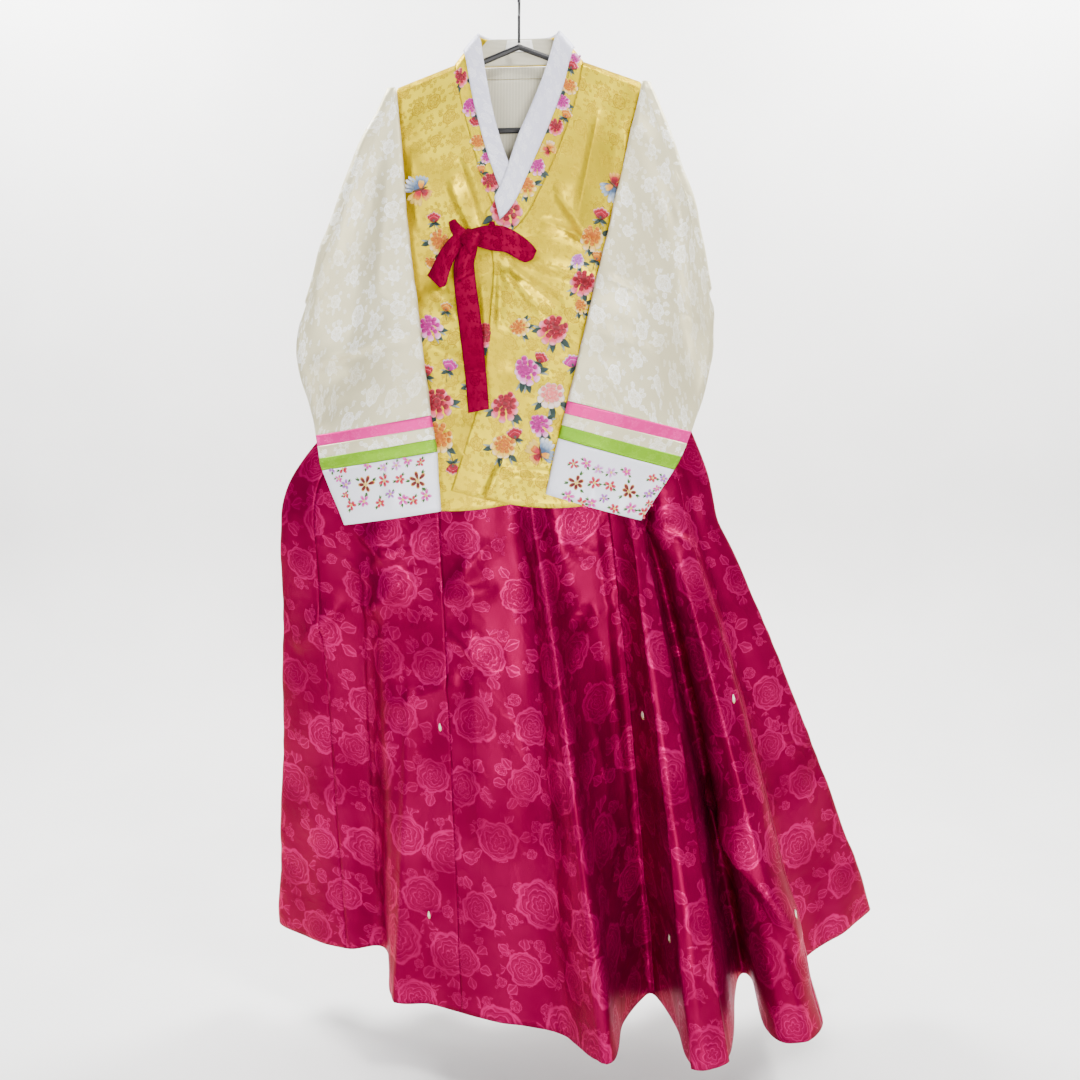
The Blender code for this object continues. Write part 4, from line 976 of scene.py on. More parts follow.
def armhole_ring(side):
    """The sleeve's first ring, just outside the armhole."""
    gap = 3 * SEAM_GAP
    top_x = side * (SHOULDER_X + gap)
    low_x = side * (ARMPIT_X + gap)
    return Ring(top_x, SHOULDER_Z - ARMHOLE_EDGE, low_x, ARMPIT_Z, 0.0, ARMHOLE_PUFF)


def build_sleeve(side_name, side, fold, rows, bands, creases):
    """The sleeve, its three bands and its cuff, each a length of one smooth tube."""
    rings = [sleeve_ring(armhole_ring(side), 0, "armhole")]
    rings += [sleeve_ring(fold, turn, "fold") for turn in (0, 45, 90, 135, 180)]
    rings += [sleeve_ring(ring, 180, "front") for ring in rows + bands]
    steps = SLEEVE_ROW_STEPS
    grid = smooth_rows(rings, steps)
    grid = np.concatenate([grid[:1], softened(grid, 3)[1:]])
    normals = grid_normals(grid, wraps=True)
    centre = grid.mean(axis=1, keepdims=True)
    if ((grid - centre) * normals).sum() < 0:
        grid = grid[:, ::-1]
        normals = grid_normals(grid, wraps=True)
    x, z = grid[..., 0], grid[..., 2]
    height = crease_height(x, z, creases) + SLEEVE_CRUMPLES * small_crumples(x, z)
    grid = grid + normals * height[..., None] * step_up(np.arange(len(grid)), 0, steps)[:, None, None]
    ends = [0] + [(len(rings) - 5 + i) * steps for i in range(5)]
    for (name, cloth, slot), start, end in zip(SLEEVE_PARTS, ends, ends[1:]):
        part = grid[start : end + 1].copy()
        if start:
            part[0] += (part[1] - part[0]) * SLEEVE_SEAM_SHARE
        sheet_piece(f"{name}_{side_name}", part, satin(cloth), slot, wraps=True, held="folded")


# Skirt


def waist_ring(place, z):
    """Where each fold starts on the ring under the waistband, which is flat between front and back."""
    last_front = FRONT_FOLDS - 1
    front = place <= last_front
    across = np.where(
        front, -1 + 2 * place / last_front, 1 - 2 * (place - last_front) / (len(FOLDS) - last_front)
    )
    side = np.where(front, -1.0, 1.0)
    mid, half, _, depth_front, depth_back = level_at(np.maximum(z, FLARE_TOP))
    depth = np.where(front, depth_front, depth_back)
    y = side * (WAIST_EDGE + (depth - WAIST_INSET) * (1 - abs(across) ** 3))
    return np.stack(np.broadcast_arrays(mid + (half - SKIRT_INSET) * across, y), axis=-1)


def skirt_grid():
    """The skirt once round, from under the waistband to the hem, with its folds and creases."""
    folds = smooth_rows(FOLDS, SKIRT_STEPS, wraps=True)
    place = np.arange(len(folds)) / SKIRT_STEPS
    hip = folds[:, :2]
    hem = folds[:, 2:]
    reach = np.linalg.norm(hem - hip, axis=1)
    drop = np.sqrt(HIP_TO_HEM**2 - reach**2)
    rows = []
    for z in np.linspace(WAIST_FOOT - SEAM_GAP, HIP_Z, SKIRT_UPPER_ROWS)[:-1]:
        waist = waist_ring(place, z)
        fall = (WAIST_FOOT - z) / (WAIST_FOOT - HIP_Z)
        spread = step_up(-z, -FLARE_TOP, -FLARE_FOOT)
        flat = waist + (hip - waist) * spread
        pleat = np.cos(math.tau * place / PLEAT_PITCH) * PLEAT_DEPTH * (1 - fall)
        fade = np.minimum(1, abs(waist[:, 1]) / PLEAT_FADE) * np.sign(waist[:, 1])
        rows.append(np.stack([flat[:, 0], flat[:, 1] + pleat * fade, 0 * place + z], axis=1))
    for share in np.linspace(0, 1, SKIRT_LOWER_ROWS):
        flat = hip + (hem - hip) * share**HEM_EASE
        rows.append(np.stack([flat[:, 0], flat[:, 1], HIP_Z - drop * share], axis=1))
    return creased_skirt(softened(np.array(rows), SKIRT_EASING), place)


def creased_skirt(grid, place):
    """Crisp edges along some folds, creases across them and shallow ripples, all moved along the normals."""
    normals = grid_normals(grid, wraps=True)
    x, y, z = grid[..., 0], grid[..., 1], grid[..., 2]
    height = crease_height(x, z, SKIRT_CREASES) * step_up(-normals[..., 1], 0.0, FACING)
    height += crease_height(-x, z, SKIRT_BACK_CREASES) * step_up(normals[..., 1], 0.0, FACING)
    down = np.linspace(0, 1, len(grid))[:, None]
    half_round = len(FOLDS) / 2
    for row in FOLD_EDGES:
        gap = place[None] - (row.top + (row.foot - row.top) * down)
        gap = (gap + half_round) % len(FOLDS) - half_round
        fade = step_up(down, row.start - EDGE_FADE, row.start + EDGE_FADE)
        fade = fade * (1 - step_up(down, row.end - EDGE_FADE, row.end + EDGE_FADE))
        width = np.where(gap > 0, row.right, row.left)
        height += row.height * fade * tent(gap / width)
    ripple = np.sin(38 * x + 3 * np.sin(7 * z)) * np.sin(13 * z + 21 * x + 2 * np.sin(17 * y))
    crumple = np.sin(57 * z + 29 * x + 3 * np.sin(23 * x)) * np.sin(47 * x - 33 * z + 2 * np.sin(31 * z))
    height += (SKIRT_RIPPLE * ripple + SKIRT_CRUMPLE * crumple) * step_up(-z, *RIPPLES_FROM)
    return grid + normals * height[..., None]


def build_skirt():
    grid = skirt_grid()
    normals = grid_normals(grid, wraps=True)
    around = grid.shape[1]
    finish = satin("Rose jacquard")
    ends = PANEL_FOLDS[1:] + [PANEL_FOLDS[0] + len(FOLDS) + 1]
    for number, (first, last) in enumerate(zip(PANEL_FOLDS, ends), 1):
        columns = np.arange(first * SKIRT_STEPS, last * SKIRT_STEPS + 1) % around
        panel = grid[:, columns].copy()
        sides = normals[:, columns]
        panel[:, 0] += (panel[:, 1] - panel[:, 0]) * SEAM_SHARE
        panel[:, -1] += (panel[:, -2] - panel[:, -1]) * SEAM_SHARE
        if number == len(PANEL_FOLDS):
            past = np.arange(len(columns)) - len(columns) + LAP_FOLDS * SKIRT_STEPS
            panel = panel - sides * LAP_INSET * np.clip(past / SKIRT_STEPS, 0, 1)[None, :, None]
        panel = panel - sides * seam_dip(panel.shape[1])[None, :, None]
        name = f"chima_panel_{number}"
        band = ["chima_waistband_cloth"]
        sheet_piece(name, panel, finish, "magenta satin", held="gathered", rests_on=band, normals=sides)


def seam_dip(columns):
    """The cloth pulls in a little at the seams at both sides of a panel."""
    from_edge = np.minimum(np.arange(columns), np.arange(columns)[::-1])
    return SEAM_DIP * np.exp(-((from_edge / SEAM_DIP_COLUMNS) ** 2))


def build_waist():
    """The waistband and the shoulder straps, inside the jacket."""
    place = np.arange(0, len(FOLDS), 0.2)
    levels = np.linspace(WAIST_TOP, WAIST_FOOT, 10)
    grid = np.array([np.column_stack([waist_ring(place, z), 0 * place + z]) for z in levels])
    grid = moved_out(grid, WAISTBAND_LIFT, wraps=True)
    finish = satin("Plain magenta")
    sheet_piece("chima_waistband", grid, finish, "magenta satin", wraps=True, wall=WAISTBAND_WALL)
    for side_name, side in (("left", -1), ("right", 1)):
        x = side * STRAP_X
        arm_z = ARM_APEX_Z - STRAP_X * math.tan(ARM_SLOPE) + lean(x)
        slope = HANG_LEAN - side * math.tan(ARM_SLOPE)
        angle = np.radians(np.linspace(180, 0, 13))
        radius = ARM_RADIUS + SEAM_GAP + WALL
        y = np.concatenate([[-STRAP_FOOT_Y, -STRAP_Y], radius * np.cos(angle), [STRAP_Y, STRAP_FOOT_Y]])
        z = np.concatenate([[WAIST_TOP, STRAP_Z], arm_z + radius * np.sin(angle), [STRAP_Z, WAIST_TOP]])
        offset = np.linspace(-STRAP_WIDTH / 2, STRAP_WIDTH / 2, 5)[None]
        tilt = np.where(z > STRAP_Z, slope, 0.0)[:, None]
        grid = np.stack([x + offset + 0 * tilt, y[:, None] + 0 * offset, z[:, None] + offset * tilt], axis=2)
        name = f"chima_strap_{side_name}"
        grid = grid[::-1, ::-1]
        sheet_piece(name, grid, finish, "magenta satin", rests_on=["hanger_frame"], wall=RIBBON_WALL)


# Finishes


class Tree:
    """Adds nodes to a material or a group, each input joined to a socket or set to a value."""

    def __init__(self, tree):
        self.tree = tree

    def node(self, kind, inputs=(), **settings):
        made = self.tree.nodes.new(kind)
        for name, value in settings.items():
            setattr(made, name, value)
        for key, value in dict(inputs).items():
            self.feed(made.inputs[key], value)
        return made

    def feed(self, socket, value):
        if isinstance(value, bpy.types.NodeSocket):
            self.tree.links.new(value, socket)
        else:
            socket.default_value = value

    def math(self, operation, *values, clamp=False):
        made = self.node("ShaderNodeMath", dict(enumerate(values)), operation=operation, use_clamp=clamp)
        return made.outputs[0]

    def vector(self, operation, *values):
        return self.node("ShaderNodeVectorMath", dict(enumerate(values)), operation=operation).outputs[0]

    def scaled(self, vector, factor):
        made = self.node("ShaderNodeVectorMath", operation="SCALE")
        self.feed(made.inputs[0], vector)
        self.feed(made.inputs["Scale"], factor)
        return made.outputs[0]

    def from_middle(self, value):
        """How far a value's fraction is from a half, either way."""
        return self.math("ABSOLUTE", self.math("SUBTRACT", self.math("FRACT", value), 0.5))

    def group(self, tree, **inputs):
        made = self.node("ShaderNodeGroup", node_tree=tree)
        for key, value in inputs.items():
            self.feed(made.inputs[key], value)
        return made.outputs

    def parts(self, vector):
        return self.node("ShaderNodeSeparateXYZ", {0: vector}).outputs

    def bump(self, height, strength, distance=1.0):
        inputs = {"Strength": strength, "Distance": distance, "Height": height}
        return self.node("ShaderNodeBump", inputs).outputs[0]

    def band(self, value, low, high):
        """0 at low and 1 at high, smoothly; low may be the greater."""
        rising = low < high
        inputs = {"Value": value, "From Min": min(low, high), "From Max": max(low, high)}
        inputs.update({"To Min": 0.0 if rising else 1.0, "To Max": 1.0 if rising else 0.0})
        return self.node("ShaderNodeMapRange", inputs, interpolation_type="SMOOTHSTEP").outputs[0]

    def blend(self, share, first, second, how="MIX"):
        made = self.node("ShaderNodeMix", {0: share, 6: first, 7: second}, data_type="RGBA", blend_type=how)
        return made.outputs[2]


def shader_group(name, inputs, outputs):
    """A new shader group: its tree, its inputs by name, and the node that its outputs feed."""
    group = bpy.data.node_groups.new(name, "ShaderNodeTree")
    for title, kind, value in inputs:
        socket = group.interface.new_socket(name=title, in_out="INPUT", socket_type="NodeSocket" + kind)
        if value is not None:
            socket.default_value = value
    for title, kind in outputs:
        group.interface.new_socket(name=title, in_out="OUTPUT", socket_type="NodeSocket" + kind)
    tree = Tree(group)
    start = tree.node("NodeGroupInput").outputs
    end = tree.node("NodeGroupOutput")
    return tree, start, end


def woven_flowers():
    """Roses scattered in offset rows: outlines of the petals, leaves and veins, and the filled shapes."""
    name = "Woven flowers"
    if name in bpy.data.node_groups:
        return bpy.data.node_groups[name]
    values = {"Pitch": 0.1, "Size": 0.34, "Turns": 3.4, "Leaves": 0.5, "Seed": 0.0}
    inputs = [("Place", "Vector", None)] + [(title, "Float", value) for title, value in values.items()]
    t, start, end = shader_group(name, inputs, [("Line", "Float"), ("Fill", "Float")])

    # Cells of one flower each, with edges that drift a little so that no petal is regular
    even = t.scaled(start["Place"], t.math("DIVIDE", 1.0, start["Pitch"]))
    noise = t.node("ShaderNodeTexNoise", {"Vector": even, "Scale": 7.0, "Detail": 2.0}).outputs["Color"]
    drift = t.scaled(t.vector("SUBTRACT", noise, (0.5, 0.5, 0.5)), FLOWER_DRIFT)
    part = t.parts(t.vector("ADD", even, drift))
    row = t.math("FLOOR", part[1])
    x = t.math("ADD", part[0], t.math("MULTIPLY", row, 0.5))
    column = t.math("FLOOR", x)
    cell = t.node("ShaderNodeCombineXYZ", {0: column, 1: row, 2: start["Seed"]}).outputs[0]
    chance = t.node("ShaderNodeTexWhiteNoise", {0: cell}, noise_dimensions="3D").outputs
    draw = t.node("ShaderNodeSeparateColor", {0: chance["Color"]}).outputs
    local = []
    for value, chosen in ((x, draw[0]), (part[1], draw[1])):
        shift = t.math("MULTIPLY", t.math("SUBTRACT", chosen, 0.5), FLOWER_SHIFT)
        local.append(t.math("SUBTRACT", t.math("SUBTRACT", t.math("FRACT", value), 0.5), shift))
    size = t.math("MULTIPLY", start["Size"], t.math("ADD", 0.62, t.math("MULTIPLY", draw[2], 0.42)))
    span = t.math("SQRT", t.math("ADD", *[t.math("POWER", value, 2.0) for value in local]))
    r = t.math("DIVIDE", span, size)
    turn = t.math("MULTIPLY", chance["Value"], math.tau)
    angle = t.math("ADD", t.math("ARCTAN2", local[1], local[0]), turn)

    # The flower: a lobed edge, and scalloped rings of petals round its heart
    lobes = t.math("ABSOLUTE", t.math("SINE", t.math("MULTIPLY", angle, 3.5)))
    reach = t.math("SUBTRACT", r, t.math("MULTIPLY", lobes, 0.09))
    inside = t.band(reach, 0.90, 0.82)
    twist = t.math("MULTIPLY_ADD", r, 4.6, t.math("MULTIPLY", angle, 2.5))
    scallop = t.math("MULTIPLY", t.math("ABSOLUTE", t.math("SINE", twist)), 0.55)
    ring = t.math("FRACT", t.math("SUBTRACT", t.math("MULTIPLY", r, start["Turns"]), scallop))
    from_line = t.math("ABSOLUTE", t.math("SUBTRACT", ring, 0.5))
    line = t.math("MULTIPLY", t.band(from_line, 0.15, 0.05), inside)
    rim = t.math("MULTIPLY", t.band(reach, 0.72, 0.79), inside)

    # Leaves in seven directions, some left out, that fade before the edge of the cell
    sector = t.math("MULTIPLY", angle, 7 / math.tau)
    from_axis = t.from_middle(sector)
    leaf_cell = t.node("ShaderNodeCombineXYZ", {0: t.math("FLOOR", sector), 1: column, 2: row}).outputs[0]
    leaf_draw = t.node("ShaderNodeTexWhiteNoise", {0: leaf_cell}, noise_dimensions="3D").outputs["Value"]
    out = t.math("DIVIDE", t.math("SUBTRACT", r, 0.96), 0.78, clamp=True)
    breadth = t.math("MULTIPLY", t.math("SINE", t.math("MULTIPLY", out, math.pi)), 0.25)
    depth = t.math("SUBTRACT", breadth, from_axis)
    off_middle = t.math("MAXIMUM", t.from_middle(x), t.from_middle(part[1]))
    present = t.math("LESS_THAN", leaf_draw, start["Leaves"])
    present = t.math("MULTIPLY", present, t.band(off_middle, 0.50, 0.46))
    leaf = t.math("MULTIPLY", t.band(depth, 0.0, 0.04), present)
    leaf_line = t.math("MULTIPLY", t.band(depth, 0.09, 0.04), leaf)
    vein = t.math("MULTIPLY", t.band(from_axis, 0.030, 0.010), leaf)

    lines = t.math("MAXIMUM", t.math("MAXIMUM", line, rim), t.math("MAXIMUM", leaf_line, vein))
    t.feed(end.inputs["Line"], lines)
    shaded = t.math("MULTIPLY", inside, t.math("MULTIPLY_ADD", ring, 0.80, 0.20))
    t.feed(end.inputs["Fill"], t.math("MAXIMUM", shaded, t.math("MULTIPLY", leaf, 0.7)))
    return t.tree


def cloth_relief():
    """A fine twill and shallow crumples, as a height in metres, and soft patches that place painted shade and
    painted sheen on the satin.
    """
    name = "Cloth relief"
    if name in bpy.data.node_groups:
        return bpy.data.node_groups[name]
    inputs = [("Place", "Vector", None), ("Thread", "Float", 0.0007), ("Crumple", "Float", 0.0006)]
    t, start, end = shader_group(name, inputs, [("Height", "Float"), ("Mottle", "Float")])
    part = t.parts(start["Place"])
    step = t.math("DIVIDE", t.math("MULTIPLY_ADD", part[1], 0.6, part[0]), start["Thread"])
    twill = t.math("SINE", t.math("MULTIPLY", step, math.tau))
    noise = {"Vector": start["Place"], "Detail": 2.0}
    wide = t.node("ShaderNodeTexNoise", {**noise, "Scale": 17.0, "Distortion": 0.6}).outputs["Fac"]
    slow = t.node("ShaderNodeTexNoise", {**noise, "Scale": 9.0}).outputs["Fac"]
    ridge = t.math("ABSOLUTE", t.math("SUBTRACT", wide, 0.5))
    crumple = t.math("MULTIPLY", t.math("MULTIPLY_ADD", ridge, -2.2, wide), start["Crumple"])
    t.feed(end.inputs["Height"], t.math("MULTIPLY_ADD", twill, TWILL_HEIGHT, crumple))
    t.feed(end.inputs["Mottle"], slow)
    return t.tree


# Sizes in the finishes, in metres and shares
FLOWER_DRIFT = 0.11
FLOWER_SHIFT = 0.30  # how far a flower may be from the middle of its cell
TWILL_HEIGHT = 0.00001
LINE_HEIGHT = 0.00012
FILL_HEIGHT = 0.00006
RIB_PITCH = 0.0021
RIB_HEIGHT = 0.00025
STRAND_PITCH = 0.0006
STRAND_HEIGHT = 0.00012
METAL_SPECULAR = 0.03
CLOTH_SPECULAR = 0.25
METAL_CLOTH = 0.35  # a satin more metallic than this takes its gloss from the metal

# Satins: three colours (the ground, the thread and the painted shade on the ground) and the gloss, then the
# woven flowers, and the height of the crumples
Satin = namedtuple(
    "Satin", "ground thread deep rough metallic sheen pitch size turns leaves line fill crumple"
)
SATINS = {
    "Rose jacquard": Satin(
        (0.185, 0.0, 0.034), (0.70, 0.001, 0.18), (0.11, 0.0, 0.018), 0.40, 0.55, 0.03,
        0.092, 0.45, 5.2, 0.62, 0.32, 0.15, 0.0016,
    ),
    "Golden jacquard": Satin(
        (0.70, 0.545, 0.003), (0.36, 0.215, 0.001), (0.56, 0.38, 0.002), 0.40, 0.62, 0.03,
        0.030, 0.36, 1.9, 0.9, 0.80, 0.55, 0.0009,
    ),
    "Golden collar": Satin(
        (0.70, 0.545, 0.003), (0.36, 0.215, 0.001), (0.56, 0.38, 0.002), 0.40, 0.55, 0.03,
        0.034, 0.36, 2.4, 0.6, 0.40, 0.22, 0.0005,
    ),
    "Ivory jacquard": Satin(
        (0.68, 0.625, 0.40), (1.0, 1.0, 0.95), (0.59, 0.53, 0.32), 0.42, 0.30, 0.06,
        0.042, 0.33, 1.5, 0.75, 0.85, 0.60, 0.0009,
    ),
    "White jacquard": Satin(
        (0.66, 0.655, 0.78), (0.95, 0.95, 1.0), (0.58, 0.57, 0.70), 0.42, 0.10, 0.10,
        0.020, 0.36, 1.9, 0.5, 0.75, 0.35, 0.0005,
    ),
    "Cuff satin": Satin(
        (0.76, 0.77, 0.85), (0.86, 0.87, 0.94), (0.62, 0.63, 0.72), 0.40, 0.10, 0.25,
        0.030, 0.30, 1.9, 0.5, 0.20, 0.05, 0.0008,
    ),
    "Pink satin": Satin(
        (0.76, 0.018, 0.27), (0.95, 0.10, 0.42), (0.64, 0.012, 0.20), 0.42, 0.40, 0.03,
        0.024, 0.30, 1.6, 0.5, 0.35, 0.10, 0.0006,
    ),
    "Green satin": Satin(
        (0.20, 0.43, 0.008), (0.32, 0.58, 0.05), (0.14, 0.34, 0.005), 0.42, 0.40, 0.03,
        0.024, 0.30, 1.6, 0.5, 0.35, 0.10, 0.0006,
    ),
    "Crimson jacquard": Satin(
        (0.18, 0.0, 0.024), (0.07, 0.0, 0.008), (0.12, 0.0, 0.014), 0.50, 0.40, 0.03,
        0.022, 0.34, 2.2, 0.7, 0.75, 0.35, 0.0006,
    ),
    "Plain magenta": Satin(
        (0.20, 0.0, 0.034), (0.24, 0.0, 0.045), (0.13, 0.0, 0.018), 0.46, 0.30, 0.03,
        0.1, 0.2, 1.0, 0.0, 0.0, 0.0, 0.0008,
    ),
}


def new_finish(name):
    """A new material: itself, its tree and its shader."""
    made = bpy.data.materials.new(name)
    made.use_nodes = True
    return made, Tree(made.node_tree), made.node_tree.nodes["Principled BSDF"]


def satin(name):
    """A woven satin: its flowers lie in the weave, brighter or duller than the ground. Soft patches of
    painted shade darken the ground and painted sheen brightens the flowers.
    """
    if name in bpy.data.materials:
        return bpy.data.materials[name]
    cloth = SATINS[name]
    made, t, surface = new_finish(name)
    place = t.node("ShaderNodeUVMap", uv_map="Cloth").outputs[0]
    flowers = {"Pitch": cloth.pitch, "Size": cloth.size, "Turns": cloth.turns, "Leaves": cloth.leaves}
    large = t.group(woven_flowers(), Place=place, Seed=1.0, **flowers)
    aside = t.vector("ADD", place, (cloth.pitch * 0.55, cloth.pitch * 0.45, 0.0))
    buds = {"Pitch": cloth.pitch * 0.5, "Size": cloth.size * 0.55, "Turns": 1.6, "Leaves": cloth.leaves * 0.5}
    small = t.group(woven_flowers(), Place=aside, Seed=7.0, **buds)
    free = t.math("SUBTRACT", 1.0, large["Fill"])
    line = t.math("MAXIMUM", large["Line"], t.math("MULTIPLY", small["Line"], free))
    fill = t.math("MAXIMUM", large["Fill"], t.math("MULTIPLY", small["Fill"], free))
    relief = t.group(cloth_relief(), Place=place, Crumple=cloth.crumple)
    # Painted shade: where the soft noise is low, the ground is darkened towards the satin's darker colour.
    shade = t.math("MULTIPLY", t.band(relief["Mottle"], 0.62, 0.38), 0.55)
    ground = t.blend(shade, (*cloth.ground, 1), (*cloth.deep, 1))
    # Painted sheen: the flowers show stronger where the soft noise is high, as if they caught the light.
    painted_sheen = t.math("MULTIPLY_ADD", t.band(relief["Mottle"], 0.38, 0.60), 0.70, 0.45)
    filled = t.math("MULTIPLY", t.math("MULTIPLY", fill, painted_sheen), cloth.fill)
    drawn = t.math("MULTIPLY", t.math("MULTIPLY", line, painted_sheen), cloth.line)
    colour = t.blend(drawn, t.blend(filled, ground, (*cloth.thread, 1)), (*cloth.thread, 1))
    t.feed(surface.inputs["Base Color"], colour)
    rough = t.math("MULTIPLY_ADD", fill, 0.10, cloth.rough)
    t.feed(surface.inputs["Roughness"], t.math("MULTIPLY_ADD", line, -0.12, rough))
    raised = t.math("MULTIPLY_ADD", line, LINE_HEIGHT, t.math("MULTIPLY", fill, FILL_HEIGHT))
    t.feed(surface.inputs["Normal"], t.bump(t.math("ADD", raised, relief["Height"]), 0.8))
    surface.inputs["Metallic"].default_value = cloth.metallic
    surface.inputs["Sheen Weight"].default_value = cloth.sheen
    surface.inputs["Sheen Roughness"].default_value = 0.4
    surface.inputs["Sheen Tint"].default_value = (*cloth.thread, 1)
    surface.inputs["Specular Tint"].default_value = (*cloth.thread, 1)
    specular = METAL_SPECULAR if cloth.metallic > METAL_CLOTH else CLOTH_SPECULAR
    surface.inputs["Specular IOR Level"].default_value = specular
    return made


def ribbed_lining():
    """A thin cream lining with fine upright ribs, darkened by painted shade towards each rib's valley."""
    name = "Ribbed lining"
    if name in bpy.data.materials:
        return bpy.data.materials[name]
    made, t, surface = new_finish(name)
    across = t.parts(t.node("ShaderNodeUVMap", uv_map="Cloth").outputs[0])[0]
    rib = t.math("SINE", t.math("MULTIPLY", across, math.tau / RIB_PITCH))
    share = t.math("MULTIPLY_ADD", rib, 0.5, 0.5)
    # Painted shade: the colour darkens towards each rib's valley, where the bump is lowest.
    t.feed(surface.inputs["Base Color"], t.blend(share, (0.40, 0.37, 0.27, 1), (0.66, 0.63, 0.50, 1)))
    t.feed(surface.inputs["Normal"], t.bump(t.math("MULTIPLY", share, RIB_HEIGHT), 0.7))
    surface.inputs["Roughness"].default_value = 0.55
    surface.inputs["Sheen Weight"].default_value = 0.3
    return made


def plain_finish(name, colour, roughness, grain):
    """A plain surface with a little grain in its colour and gloss."""
    if name in bpy.data.materials:
        return bpy.data.materials[name]
    made, t, surface = new_finish(name)
    place = t.node("ShaderNodeTexCoord").outputs["Object"]
    noise = t.node("ShaderNodeTexNoise", {"Vector": place, "Scale": grain, "Detail": 4.0}).outputs["Fac"]
    darker = tuple(c * 0.85 for c in colour)
    t.feed(surface.inputs["Base Color"], t.blend(noise, (*darker, 1), (*colour, 1)))
    t.feed(surface.inputs["Roughness"], t.math("MULTIPLY_ADD", noise, 0.2, roughness - 0.1))
    t.feed(surface.inputs["Normal"], t.bump(noise, 0.3, 0.0003))
    return made


def embroidery_thread():
    """Glossy stitches in the colours of each shape, with the threads running along it and stripes of painted
    shade along the strands.
    """
    name = "Embroidery thread"
    if name in bpy.data.materials:
        return bpy.data.materials[name]
    made, t, surface = new_finish(name)
    dye = t.node("ShaderNodeVertexColor", layer_name="Thread").outputs["Color"]
    across = t.parts(t.node("ShaderNodeUVMap", uv_map="Cloth").outputs[0])[0]
    strand = t.math("SINE", t.math("MULTIPLY", across, math.tau / STRAND_PITCH))
    share = t.math("MULTIPLY_ADD", strand, 0.5, 0.5)
    # Painted shade: the dye darkens in stripes that follow the strands' bump.
    shaded = t.blend(t.math("MULTIPLY", share, 0.45), dye, (0.25, 0.25, 0.25, 1), "MULTIPLY")
    t.feed(surface.inputs["Base Color"], shaded)
    t.feed(surface.inputs["Normal"], t.bump(t.math("MULTIPLY", share, STRAND_HEIGHT), 0.8))
    surface.inputs["Roughness"].default_value = 0.45
    surface.inputs["Specular IOR Level"].default_value = 0.35
    return made


# Ties


def ribbon_grid(rows, bulge):
    """A strip over the jacket through the rows of a table, its middle raised by the bulge."""
    fine = smooth_rows(rows, RIBBON_STEPS)
    left_x, left_z, right_x, right_z, lift = (fine[:, i : i + 1] for i in range(5))
    share = np.linspace(0, 1, RIBBON_COLUMNS)[None]
    x = left_x + (right_x - left_x) * share
    z = left_z + (right_z - left_z) * share
    return outward(on_front(x, z, 2 * LAYER + lift + bulge * np.sin(share * np.pi)))


def outward(grid):
    """The same grid with its columns turned round if it faces into the body."""
    return grid[:, ::-1] if grid_normals(grid)[..., 1].mean() > 0 else grid


def build_ribbon():
    """The tied ribbon: its hanging tail, its short end, its loop, its knot and the folds round the knot."""
    finish = satin("Crimson jacquard")
    knot = ["goreum_knot_cloth"]
    parts = (
        ("goreum_tail", RIBBON_TAIL, TAIL_BULGE, "hung", knot, RIBBON_WALL),
        ("goreum_end", RIBBON_END, RIBBON_BULGE, "hung", knot, RIBBON_WALL),
        ("goreum_loop", RIBBON_LOOP, RIBBON_BULGE, "folded", (), RIBBON_WALL),
        ("goreum_knot", RIBBON_KNOT, KNOT_BULGE, "folded", (), KNOT_WALL),
    )
    for name, rows, bulge, held, rests_on, wall in parts:
        sheet_piece(name, ribbon_grid(rows, bulge), finish, "crimson ribbon", held, rests_on, wall=wall)
    for number, rows in enumerate((RIBBON_TIP_LEFT, RIBBON_TIP_RIGHT, RIBBON_CROSS), 1):
        strip = ribbon_grid(rows, RIBBON_BULGE)
        piece = cloth_shell(f"goreum_fold_{number}", strip, finish, wall=RIBBON_WALL)


# Embroidery


def stitched_shape(pointed):
    """A low cushion of stitches, its base at the origin and its round or pointed tip one unit along +Y."""
    bpy.ops.object.select_all(action="DESELECT")
    bpy.ops.mesh.primitive_uv_sphere_add(segments=12, ring_count=5, radius=0.5, location=(0, 0, 0))
    ball = bpy.context.object
    points = np.array([vertex.co[:] for vertex in ball.data.vertices])
    faces = [tuple(face.vertices) for face in ball.data.polygons]
    mesh = ball.data
    bpy.data.objects.remove(ball, do_unlink=True)
    bpy.data.meshes.remove(mesh)
    points[:, 1] += 0.5
    points[:, 0] *= 1.5 * np.sqrt(1 - points[:, 1]) if pointed else 0.55 + 0.55 * points[:, 1]
    points[:, 2] = points[:, 2] * 2 * (0.6 + 0.4 * points[:, 1])
    return points, faces


def beside(flower, share, angle):
    """The place at a share of a flower's radius from its middle."""
    away = share * flower.radius
    return flower.x + away * math.cos(angle), flower.z + away * math.sin(angle)


